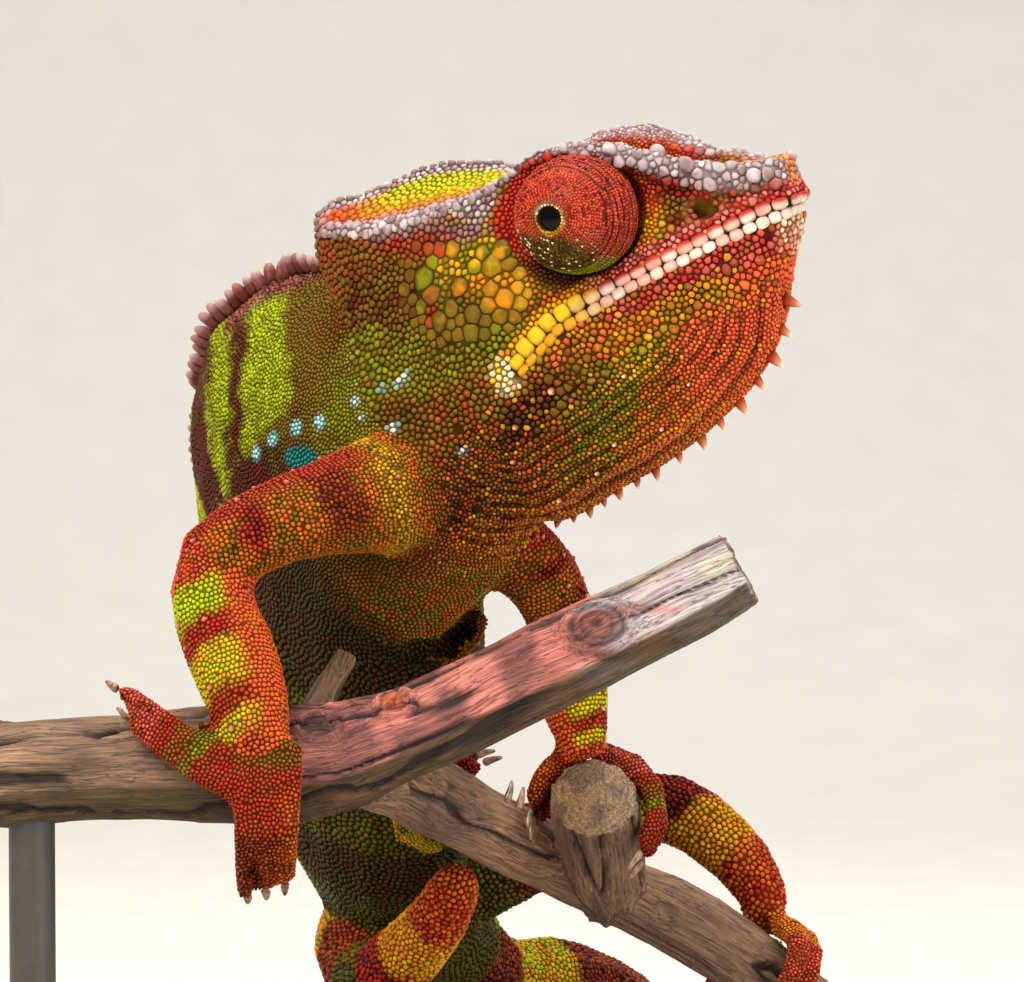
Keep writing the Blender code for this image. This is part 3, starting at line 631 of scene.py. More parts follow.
@dataclass
class HeadFrame:
    """Forward, left and up of the head, from the middle between the eyes.

    x runs to the snout, y to the animal's left and z to the crown. The curves of the mouth and
    the ridges are (x, z) pairs there.
    """

    yaw: float = math.radians(-22.0)
    roll: float = math.radians(8.0)
    eyes_ahead: tuple = (0.205, -0.055, 0.14)
    mouth: tuple = ((-7.9, -17.4), (-3.0, -12.0), (4.6, -7.6), (12.7, -3.75), (19.2, -0.75), (21.5, -0.1))
    ridge: tuple = ((-36.5, -1.2), (-32.9, -1.6), (-28.3, -1.4), (-23.5, -0.6), (-18.6, 0.7), (-14, 2.3),
                    (-10, 4.2), (-6.8, 6.4), (-3.5, 7.5), (0, 7.7), (4.4, 7.0), (8.8, 5.8), (12.3, 5.0),
                    (16.4, 4.5), (19.8, 4.8), (20.5, 2.9))
    throat: tuple = ((-20, -31), (-14, -35.3), (-8.4, -36.2), (-4, -34.5), (-0.5, -32.2), (4, -29.9),
                     (9.5, -26.2), (14, -22.2), (17.2, -18.2), (18.8, -15.2), (19.5, -12.2), (19.9, -8.4))
    axes: Array = field(init=False)
    centre: Array = field(init=False)

    def __post_init__(self) -> None:
        """Works out the axes and the centre from the eyeballs."""
        turn = Matrix.Rotation(self.yaw, 3, "Z") @ Matrix.Rotation(self.roll, 3, "X")
        self.axes = np.array([turn.col[i] for i in range(3)])
        eyes = (middle("eyeball_right") + middle("eyeball_left")) / 2
        self.centre = eyes - np.array(self.eyes_ahead) @ self.axes

    def inside(self, points: Array) -> Array:
        """Points in the head's frame."""
        return (points - self.centre) @ self.axes.T

    def outside(self, places: Array) -> Array:
        """Places of the head's frame in the part's frame."""
        return np.asarray(places, float) @ self.axes + self.centre

    @staticmethod
    def from_line(knots: tuple, x: Array, z: Array) -> tuple[Array, Array]:
        """Distance to the left of a line of (x, z) knots (negative to its right), and distance along it."""
        knots = np.array(knots)
        best = np.full(len(x), 1e9)
        run = np.zeros(len(x))
        start = 0.0
        for (x0, z0), (x1, z1) in zip(knots, knots[1:]):
            length = math.hypot(x1 - x0, z1 - z0)
            share = ((x - x0) * (x1 - x0) + (z - z0) * (z1 - z0)) / length ** 2
            share = np.clip(share, 0.0, 1.0)
            gap = np.hypot(x - x0 - share * (x1 - x0), z - z0 - share * (z1 - z0))
            above = (x1 - x0) * (z - z0) - (z1 - z0) * (x - x0)
            closer = gap < np.abs(best)
            best = np.where(closer, np.where(above >= 0, gap, -gap), best)
            run = np.where(closer, start + share * length, run)
            start += length
        return best, run

    def from_mouth(self, head: Array) -> tuple[Array, Array]:
        """Distance above the mouth line (negative below), and distance along it from its corner."""
        return self.from_line(self.mouth, head[:, 0], head[:, 2])

    def pleats(self, x: Array, z: Array) -> Array:
        """Distance in from the throat's edge, which the rows and furrows of the throat follow."""
        edge, _ = self.from_line(self.throat, x, z)
        height, _ = self.from_line(self.mouth, x, z)
        share = ease(2.0, 16.0, edge)
        return edge * (1 - share) + (edge + 0.35 * (height + 16.0)) * share


@dataclass
class Backbone:
    """The line through neck and trunk, with the direction of the back at each station."""

    stations: tuple = (
        ((14.8, -35.4, 139.3), (-0.30, 0.10, 0.95)),
        ((6.5, -32.5, 136.5), (-0.36, 0.10, 0.93)),
        ((-0.5, -28.5, 132.5), (-0.38, 0.20, 0.90)),
        ((-7.0, -23.5, 129.5), (-0.34, 0.33, 0.88)),
        ((-11.0, -18.5, 125.0), (-0.52, 0.42, 0.74)),
        ((-11.0, -12.5, 116.0), (-0.60, 0.55, 0.58)),
        ((-10.5, -4.5, 103.0), (-0.60, 0.68, 0.42)),
        ((-9.0, 5.0, 88.0), (-0.48, 0.78, 0.40)),
        ((-4.0, 17.0, 75.0), (-0.34, 0.80, 0.50)),
        ((2.5, 27.0, 65.5), (-0.22, 0.72, 0.66)),
    )
    steps: int = 8

    def __post_init__(self) -> None:
        """Divides the line finely."""
        centres = np.array([row[0] for row in self.stations])
        backs = unit(np.array([row[1] for row in self.stations]))
        at = np.linspace(0, len(centres) - 1, (len(centres) - 1) * self.steps + 1)
        index = np.arange(len(centres))
        self.line, self.backs = row_at(at, index, centres), unit(row_at(at, index, backs))
        self.ways = unit(np.gradient(self.line, axis=0))
        self.run = running(self.line)

    def nearest(self, points: Array) -> tuple[Array, Array]:
        """Number of the nearest place on the line, and the way from it to each point."""
        number = sizes_of(points[:, None, :] - self.line[None]).argmin(axis=1)
        return number, points - self.line[number]

    def coordinates(self, points: Array) -> tuple[Array, Array, Array]:
        """Distance along the body, share round it (0 back, 1 belly) and the way along it, per point."""
        number, offset = self.nearest(points)
        way = self.ways[number]
        lift = (across(offset, way) * self.backs[number]).sum(1)
        return self.run[number] + (offset * way).sum(1), np.arccos(np.clip(lift, -1, 1)) / math.pi, way

    def left_of(self, points: Array) -> Array:
        """True where a place is on the left of the body."""
        number, offset = self.nearest(points)
        return (offset * np.cross(self.backs[number], self.ways[number])).sum(1) < 0

    def ridge_place(self, run: float, surface: Surface) -> Array | None:
        """The place on the ridge of the back at a distance along the body."""
        back = unit(row_at(run, self.run, self.backs))
        return surface.hit(row_at(run, self.run, self.line) + back * 40.0, -back)


class Limb:
    """The axis of one length of a leg, from the end nearest the body."""

    def __init__(self, node: str, before: Array) -> None:
        """Finds the axis of the node, pointing away from the place before it."""
        points, _ = triangles_of(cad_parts[node])
        self.centre = (points.min(0) + points.max(0)) / 2
        _, _, rows = np.linalg.svd(points - points.mean(0), full_matrices=False)
        self.way = rows[0] if rows[0] @ (self.centre - before) > 0 else -rows[0]
        reach = (points - self.centre) @ self.way
        self.low, self.high = float(reach.min()), float(reach.max())

    def share(self, points: Array) -> Array:
        """0 at the end nearest the body, 1 at the far end."""
        return ((points - self.centre) @ self.way - self.low) / (self.high - self.low)


class Anatomy:
    """What the scales and the markings ask about a place on the body."""

    def __init__(self) -> None:
        """Reads the solids of flesh."""
        self.head = HeadFrame()
        self.backbone = Backbone()
        self.limbs = {}
        for nodes in (*LIMBS.values(), TAIL_NODES):
            before = middle("trunk")
            for node in nodes:
                self.limbs[node] = Limb(node, before)
                if not node.startswith(("hand", "foot")):
                    before = middle(node)
        points, faces, self.owners = stacked(FLESH, 0.0)
        self.surface = Surface(points, faces)

    def owner(self, points: Array) -> Array:
        """Index in FLESH of the solid nearest each point."""
        _, triangles = self.surface.nearest(points)
        return self.owners[triangles]

    def lie(self, points: Array, owner: Array) -> Array:
        """The way that scales point at each place: back along the head and body, out along a leg."""
        ways = self.backbone.coordinates(points)[2]
        ways[on_head(owner)] = -self.head.axes[0]
        for node, limb in self.limbs.items():
            ways[owned(owner, node)] = limb.way
        return ways


# ---- markings


def named(words: str) -> tuple:
    """The pigments of some names."""
    return tuple(Pigment[word] for word in words.split())


@dataclass(frozen=True)
class Patch:
    """An oval of two mingled pigments on the side of the head, neck or throat, in the head's frame."""

    x: float
    z: float
    long: float
    tall: float
    hues: str
    turn: float = 0.0

    def share(self, head: Array, wobble: Array) -> Array:
        """1 inside the patch, softly 0 outside it, for places of the head's frame."""
        cos, sin = math.cos(math.radians(self.turn)), math.sin(math.radians(self.turn))
        dx, dz = head[:, 0] - self.x, head[:, 2] - self.z
        reach = np.hypot((dx * cos + dz * sin) / self.long, (dz * cos - dx * sin) / self.tall)
        return 1 - ease(0.65, 1.35, reach + wobble)


@dataclass
class Mingled:
    """The two colours that mingle at each place."""

    first: Array
    second: Array

    @staticmethod
    def plain(count: int, words: str) -> "Mingled":
        """The same two named pigments at every place."""
        return Mingled(*(np.tile(hue.light(), (count, 1)) for hue in named(words)))

    def lay(self, first: object, second: object, share: Array) -> None:
        """Lays two colours over them."""
        self.first, self.second = blend(self.first, first, share), blend(self.second, second, share)

    def put(self, where: Array, other: "Mingled") -> None:
        """Puts the colours of another in the places of a mask."""
        self.first[where], self.second[where] = other.first, other.second


class Markings:
    """Colours of any place on the animal."""

    # middle, half length and height, two pigments and turn in degrees, in the order that they are laid
    patches = tuple(Patch(*row) for row in (
        # throat and neck, from the back forwards
        (-22, -25, 16, 12, "OLIVE LEAF", 20), (-17, -31.5, 6.0, 6.5, "ORANGE RUST"),
        (-20, -24.5, 5.5, 2.6, "OLIVE YELLOW"), (-12, -28, 12, 12, "OLIVE RUST", 30),
        (-14, -33, 10, 5, "UMBER RUST", 30), (-17, -21, 9, 3, "UMBER OLIVE", 10),
        (-3, -29, 12, 9, "RUST OLIVE", 33), (-1, -31, 8, 4, "RUST MAROON", 30),
        (4, -24, 14, 7, "CORAL OLIVE", 33), (1, -25, 9, 2.6, "LEAF RUST", 42),
        (11, -22, 9, 6, "CORAL AMBER", 40), (-8, -36, 14, 4, "RUST AMBER", 20),
        # side of the lower jaw
        (5, -15, 13, 7, "ORANGE OLIVE", 33), (-1, -19, 9, 5, "RUST OLIVE", 33),
        (2, -20.5, 7, 2.6, "LEAF OLIVE", 55), (6.5, -14.2, 4.6, 2.2, "LEAF YELLOW", 60),
        (15, -9.5, 5.5, 2.6, "LEAF AMBER", 40), (12.5, -8.0, 6, 1.7, "AMBER OLIVE", 30),
        (4.5, -12.4, 5, 1.6, "AMBER ORANGE", 33), (18.4, -9, 3.2, 7, "EMBER CORAL"),
        (15, -15, 7, 4.5, "EMBER CORAL", 45), (18, -4.3, 5, 1.9, "ROSE CRIMSON", 25),
        (6.5, -8.9, 10, 1.3, "CRIMSON ROSE", 31), (13.5, -5.8, 5, 1.1, "CRIMSON ROSE", 28),
        (-3.2, -16, 3.6, 2.1, "ROSE RUST", 45), (20.9, -3.2, 1.0, 2.6, "CREAM PINK"),
        # temple and casque
        (-14, -8, 17, 12, "AMBER OLIVE"), (-25, -9, 9.5, 10, "OCHRE MAROON", 10),
        (-33, -6, 3.4, 12, "OCHRE RUST", -25), (-28.0, -4.6, 3.6, 2.6, "RUST OCHRE"),
        (-21, -4.4, 3.0, 2.4, "RUST OLIVE"), (-18, -15.5, 8, 3.4, "OLIVE LEAF", 15),
        (-13.5, -12.4, 5.6, 2.8, "OCHRE OLIVE"), (-17.5, -8.0, 2.4, 3.4, "LEAF OLIVE"),
        (-9, -14.5, 4.6, 3.2, "OLIVE LEAF"), (-12.6, -3.6, 3.8, 3.6, "YELLOW LEAF"),
        (-9.2, -7.6, 3.4, 2.6, "AMBER YELLOW"), (-12.6, -10.8, 2.8, 1.7, "OLIVE OCHRE"),
        (-16.2, -5.6, 1.8, 3.4, "LEAF YELLOW"), (-17.7, -10.4, 1.1, 1.7, "CRIMSON MAROON"),
        (-11, -20, 8, 3, "OLIVE RUST", 20), (-6.5, -21.6, 5, 2.0, "MAROON UMBER", 45),
        (-27, -17, 5, 4, "LEAF OLIVE", 40),
        # round the eye and the snout
        (2, -7.3, 8, 1.5, "CRIMSON MAROON", 20), (3.5, -7.0, 5, 1.0, "AMBER ORANGE", 25),
        (7.6, 3.6, 2.4, 3.0, "CRIMSON RUST", 10), (8.0, -1.9, 2.0, 3.0, "YELLOW AMBER", 5),
        (9.4, -2.9, 2.0, 1.4, "LEAF YELLOW", 20), (9.8, 2.6, 1.8, 1.5, "OLIVE OCHRE"),
        (9.0, 4.7, 2.4, 0.9, "MAROON CRIMSON", -10), (12.8, -1.2, 4.4, 1.4, "CRIMSON RUST", 25),
        (12.6, 0.3, 2.3, 1.9, "CRIMSON PINK", 15), (15.0, 1.4, 0.7, 0.7, "SKY TEAL"),
        (9.6, 1.2, 1.7, 2.6, "MAROON OLIVE", 20), (16.2, 0.9, 2.3, 1.1, "LEAF AMBER", 20),
        (18.6, 1.6, 1.5, 1.2, "AMBER CORAL"), (-18, -2.2, 8, 1.2, "PLUM LILAC", 5),
        (-13.0, 0.9, 2.6, 1.8, "PEARL LILAC", 25), (-20, -3.4, 5, 1.2, "RUST CRIMSON", 5),
    ))

    # pale spots across the neck, in the head's frame on the right side
    spots = ((-14.3, -12.5, -25.7, 0.5), (-22.5, -12.6, -23.1, 0.5), (-21.5, -11.0, -17.6, 0.45),
             (-22.4, -11.0, -18.3, 0.45), (-24.5, -11.0, -19.0, 0.45), (-28.0, -10.6, -20.5, 0.5),
             (-26.9, -11.7, -22.2, 0.45), (-32.9, -9.9, -23.1, 0.68), (-36.4, -8.7, -24.0, 0.72),
             (-40.2, -7.2, -25.6, 0.68), (-42.9, -6.1, -27.5, 0.66))
    streak = (-36.0, -9.6, -27.3, 2.0)

    def __init__(self, anatomy: Anatomy) -> None:
        """Keeps the anatomy that places are asked of."""
        self.anatomy = anatomy

    def colours(self, points: Array, owner: Array, chance: Array) -> Array:
        """Colour of each place, with painted shade in the furrows of the throat.

        Args:
            points: places in mm.
            owner: index of the solid that each belongs to.
            chance: a number from 0 to 1 for each, which mingles the two pigments there.

        Returns:
            Rows of linear light.
        """
        pair, head = self.pair(points, owner), self.anatomy.head.inside(points)
        made = self.spotted(blend(pair.first, pair.second, ease(0.25, 0.75, chance)), head)
        # painted shade: the furrows between the throat's pleats are darkened
        return made * (1 - 0.72 * self.furrows(head, on_head(owner)))[:, None]

    def pair(self, points: Array, owner: Array) -> Mingled:
        """The two pigments that mingle at each place."""
        made, head, on = self.body_pair(points, owner), self.anatomy.head.inside(points), on_head(owner)
        near = on + owned(owner, "neck", "trunk") * ease(-37, -30, head[:, 0]) * ease(-42, -34, head[:, 2])
        wobble = (cloud(points, 1.6, 3) - 0.5) * 0.55 + (cloud(points, 0.7, 4) - 0.5) * 0.4
        for patch in self.patches:
            made.lay(*named(patch.hues), patch.share(head, wobble) * near)
        for dress in (self.ring, self.crown, self.lips):
            dress(made, head, on)
        return made

    def spotted(self, made: Array, head: Array) -> Array:
        """The colours with the pale spots and the teal streak of the neck on them."""
        place = np.stack([head[:, 0], -np.abs(head[:, 1]), head[:, 2]], axis=1)
        for x, y, z, reach in self.spots:
            away = sizes_of(place - (x, y, z))
            made = blend(made, Pigment.SKY, ease(reach * 1.9, reach * 1.2, away) * 0.6)
            core = Pigment.WHITE if reach < 0.6 else Pigment.PALE
            made = blend(made, core, ease(reach * 1.25, reach * 0.9, away))
        x, y, z, reach = self.streak
        away = sizes_of((place - (x, y, z)) * (0.45, 1.0, 1.2))
        return blend(made, Pigment.TEAL, ease(reach, reach * 0.6, away))

    def furrows(self, head: Array, on: Array) -> Array:
        """1 in the furrows between the pleats of the throat."""
        height, _ = self.anatomy.head.from_mouth(head)
        where = on * ease(4.0, 8.0, -height) * ease(20.5, 18.5, head[:, 0])
        depth = self.anatomy.head.pleats(head[:, 0], head[:, 2]) + 0.4 * (cloud(head, 4.0, 12) - 0.5)
        return where * wave(depth / PLEAT) ** 4 * (0.45 + 0.75 * cloud(head, 5.0, 15))

    @staticmethod
    def ring(made: Mingled, head: Array, on: Array) -> None:
        """The skin round the turret: scarlet behind and in front, maroon and amber below."""
        x, z = head[:, 0] - FOOT_AHEAD, head[:, 2]
        reach = np.hypot(x, z * 1.05) + 0.5 * (cloud(head, 1.5, 17) - 0.5)
        wide = 8.9 + 1.7 * bell(z + 0.8, 2.4) * (x < 0)
        behind = ease(2.0, -3.0, x) * ease(-6.0, -2.5, z)
        tones = Mingled(blend(Pigment.CRIMSON, Pigment.SCARLET, behind),
                        blend(Pigment.ORANGE, Pigment.SCARLET, behind))
        tones.lay(Pigment.MAROON, Pigment.UMBER, ease(-3.0, -6.0, z))
        front = ease(4.0, 6.5, x) * ease(1.0, -1.5, z) * ease(-7.5, -5.5, z)
        tones.lay(Pigment.ORANGE, Pigment.YELLOW, front)
        made.lay(tones.first, tones.second, on * ease(wide, wide - 0.8, reach))

    def crust(self, head: Array, owner: Array) -> Array:
        """1 on the crusty pale ridges of brow, snout and casque."""
        below = along(self.anatomy.head.ridge, head[:, 0]) - head[:, 2]
        drop = along(RIDGE_DROP, head[:, 0])
        return on_head(owner) * ease(-2.0, -1.0, below) * ease(1.15, 0.9, below / drop)

    def crown(self, made: Mingled, head: Array, on: Array) -> None:
        """The casque's top and the pale ridges that frame it and the brow."""
        x, y, z = head.T
        wide, side = np.maximum(along(RIDGE_SIDE, x), 1.0), np.abs(y)
        below, drop = along(self.anatomy.head.ridge, x) - z, along(RIDGE_DROP, x)
        top = on * (x > -36) * ease(-1.0, 0.4, -below) * ease(1.02, 0.9, side / wide)
        snout = ease(4.0, 9.0, x) * top
        made.lay(Pigment.ORANGE, Pigment.CORAL, top)
        made.lay(Pigment.LEMON, Pigment.LIME, top * ease(0.8, 0.4, side / wide) * ease(-32, -24, x))
        made.lay(Pigment.ROSE, made.second, snout * 0.7)
        made.lay(made.first, Pigment.LILAC, snout)
        edge = on * ease(-1.6, -0.6, below) * ease(1.15, 0.85, below / drop) * ease(0.62, 0.8, side / wide)
        for share in (edge, on * ease(1.9, 0.8, side) * ease(-3, -1, -below) * (x < -9)):
            made.lay(Pigment.LILAC, Pigment.PEARL, share)
        under = ease(0.8, 1.0, below / drop) * ease(1.9, 1.3, below / drop)
        made.lay(Pigment.CRIMSON, Pigment.MAROON, on * under * (x > 3) * 0.8)

    def lips(self, made: Mingled, head: Array, on: Array) -> None:
        """The rows beside the lips: lemon towards the corner, white and pink towards the snout."""
        height, run = self.anatomy.head.from_mouth(head)
        beside, ahead = on * ease(-0.5, 1.0, run), ease(10.0, 16.0, run)
        level = height - 0.5 * (1 - ahead)
        made.lay(blend(Pigment.LEMON, Pigment.WHITE, ahead), blend(Pigment.YELLOW, Pigment.CREAM, ahead),
                 beside * ease(-0.95, -0.75, height) * ease(1.2, 1.0, level))
        made.lay(blend(Pigment.AMBER, Pigment.CRIMSON, ahead), blend(Pigment.YELLOW, Pigment.PINK, ahead),
                 beside * ease(1.1, 1.3, level) * ease(3.0, 2.4, height))
        corner = np.hypot(head[:, 0] + 8.6, head[:, 2] + 17.2)
        made.lay(Pigment.CREAM, Pigment.LEMON, on * ease(2.6, 1.4, corner))

    @staticmethod
    def banded(value: Array, bands: tuple, soft: float) -> Mingled:
        """The two colours of each place on a run of bands.

        Args:
            value: distance along the bands.
            bands: rows of (where the band ends, names of its two pigments).
            soft: how wide the blend between two bands is.

        Returns:
            The two colours.
        """
        made = Mingled.plain(len(value), bands[0][1])
        for (start, _), (_, hues) in zip(bands, bands[1:]):
            made.lay(*named(hues), ease(start - soft, start + soft, value))
        return made

    def body_pair(self, points: Array, owner: Array) -> Mingled:
        """The two colours of neck, trunk, tail and legs."""
        run, belly, _ = self.anatomy.backbone.coordinates(points)
        rough = (cloud(points, 3.0, 11) - 0.5) * 2.4 + (cloud(points, 1.2, 13) - 0.5) * 1.6
        made = Mingled.plain(len(points), "OLIVE RUST")
        trunk = owned(owner, "trunk", "neck")
        bar = (9.5 - points[:, 0]) * (1 - ease(30, 44, run)) + run * ease(30, 44, run)
        made.put(trunk, self.banded(bar[trunk] + 0.6 * rough[trunk], TRUNK_BARS, 0.8))
        low = trunk * ease(0.3, 0.36, belly + rough * 0.015) * ease(54.0, 44.0, run) * ease(22, 30, run)
        made.lay(Pigment.MAROON, Pigment.UMBER, low)
        made.lay(Pigment.MAROON, Pigment.PLUM, trunk * ease(0.065, 0.035, belly))
        # the lower flank and belly: their own dark moss and umber, made darker still as painted shade on the
        # underside
        belly_side = trunk * ease(0.5, 0.66, belly + rough * 0.02)
        made.lay(Pigment.MOSS.light() * 0.75, Pigment.UMBER, belly_side * 0.9)
        breast = trunk * ease(0.7, 0.9, belly) * ease(34.0, 24.0, run)
        made.lay(Pigment.ORANGE, made.second, breast * 0.8)
        made.lay(made.first, Pigment.LEAF, breast * 0.6)
        for number, node in enumerate(TAIL_NODES):
            mine = owned(owner, node)
            share = self.anatomy.limbs[node].share(points[mine])
            ring = ease(0.4, 0.6, 0.5 + 0.5 * np.sin(share * 2 * math.pi * 1.5 + number) + rough[mine] * 0.06)
            tones = Mingled.plain(len(ring), "LIME AMBER")
            tones.lay(Pigment.MAROON, Pigment.RUST, ring)
            made.put(mine, tones)
        for kind, bands in LEG_BANDS.items():
            for side in Side:
                name = f"{kind}_{side.word()}"
                mine, limb = owned(owner, name), self.anatomy.limbs[name]
                share = limb.share(points[mine]) + rough[mine] * 0.024
                leg = self.banded(share, bands, 0.035)
                for _, toward, start, since, hues in (row for row in EDGES if row[0] == kind):
                    way = np.array(toward) * (side.value * -1.0, 1.0, 1.0)
                    edge = self.edge(points[mine], limb, way, start)
                    leg.lay(*named(hues), edge * ease(since, since + 0.15, share))
                made.put(mine, leg)
        return made

    @staticmethod
    def edge(points: Array, limb: Limb, toward: Array, start: float) -> Array:
        """1 along the edge of a leg that faces a direction, from a share of the way round."""
        return ease(start, start + 0.5, across(points - limb.centre, limb.way) @ across(toward, limb.way))


RIDGE_SIDE = ((-36.5, 0.6), (-35, 2.4), (-32, 4.4), (-28, 6.5), (-23.5, 8), (-18.6, 9.0), (-11, 9.9),
              (-5, 10.0), (0, 9.5), (5, 8.4), (10, 7.0), (14, 5.5), (17, 4.0), (19.8, 2.4))
RIDGE_DROP = ((-36, 1.4), (-9, 1.5), (-6, 1.0), (2, 1.4), (5, 1.9), (8, 2.5), (14, 2.9), (20, 2.6))
PLEAT = 1.68  # mm between the furrows of the throat
# edges of the arms in their own colours: which length, the way that the edge faces, least cosine
# of the turn from it, from where along the length, two pigments
EDGES = (
    ("forearm", (0.93, -0.25, -0.2), 0.12, 0.0, "ORANGE CORAL"),
    ("upper_arm", (0.2, -0.3, -1.0), 0.5, 0.2, "ORANGE OLIVE"),
    ("upper_arm", (-0.35, -0.1, 1.0), 0.4, 0.2, "CRIMSON RUST"),
    ("hand_inner", (0.9, -0.4, 0.1), 0.5, 0.2, "ORANGE RUST"),
)
BAR, GAP = "LIME LEAF", "MAROON UMBER"
# bands of two pigments with the place where each ends: mm along the trunk, shares of a leg's length
TRUNK_BARS = ((20.5, "OLIVE OCHRE"), (25.2, "OLIVE OCHRE"), (30.2, BAR), (32.2, GAP), (34.8, BAR),
              (40.5, GAP), (46.5, BAR), (52.5, GAP), (60.0, BAR), (66.0, GAP), (74.0, BAR), (80.5, GAP),
              (88.0, BAR), (95.0, GAP), (200.0, BAR))
LEG_BANDS = {
    "upper_arm": ((0.09, "OLIVE RUST"), (0.16, "ORANGE OLIVE"), (0.28, "OLIVE YELLOW"),
                  (0.35, "ORANGE OLIVE"), (0.52, "MAROON RUST"), (0.72, "OLIVE ORANGE"),
                  (0.81, "CRIMSON MAROON"), (0.93, "ORANGE OLIVE"), (9.0, "CRIMSON CORAL")),
    "forearm": ((0.185, "CORAL RUST"), (0.355, "LIME LIME"), (0.49, "CRIMSON RUST"), (0.68, "LIME YELLOW"),
                (0.80, "CRIMSON RUST"), (0.88, "LIME YELLOW"), (9.0, "RUST CORAL")),
    "hand_inner": ((0.14, "OLIVE RUST"), (0.5, "RUST CRIMSON"), (9.0, "RUST MAROON")),
    "hand_outer": ((0.36, "ROSE RUST"), (0.48, "RUST CRIMSON"), (0.61, "OLIVE RUST"), (0.67, "LEAF OLIVE"),
                   (9.0, "RUST CRIMSON")),
    "thigh": ((0.3, "OLIVE MOSS"), (0.55, "MAROON RUST"), (9.0, "LEAF AMBER")),
    "shin": ((0.3, "CRIMSON MAROON"), (0.6, "AMBER YELLOW"), (9.0, "CRIMSON ORANGE")),
    "foot_inner": ((0.4, "ORANGE AMBER"), (9.0, "RUST CORAL")),
    "foot_outer": ((0.4, "AMBER LEAF"), (9.0, "CRIMSON RUST")),
}


# ---- skin


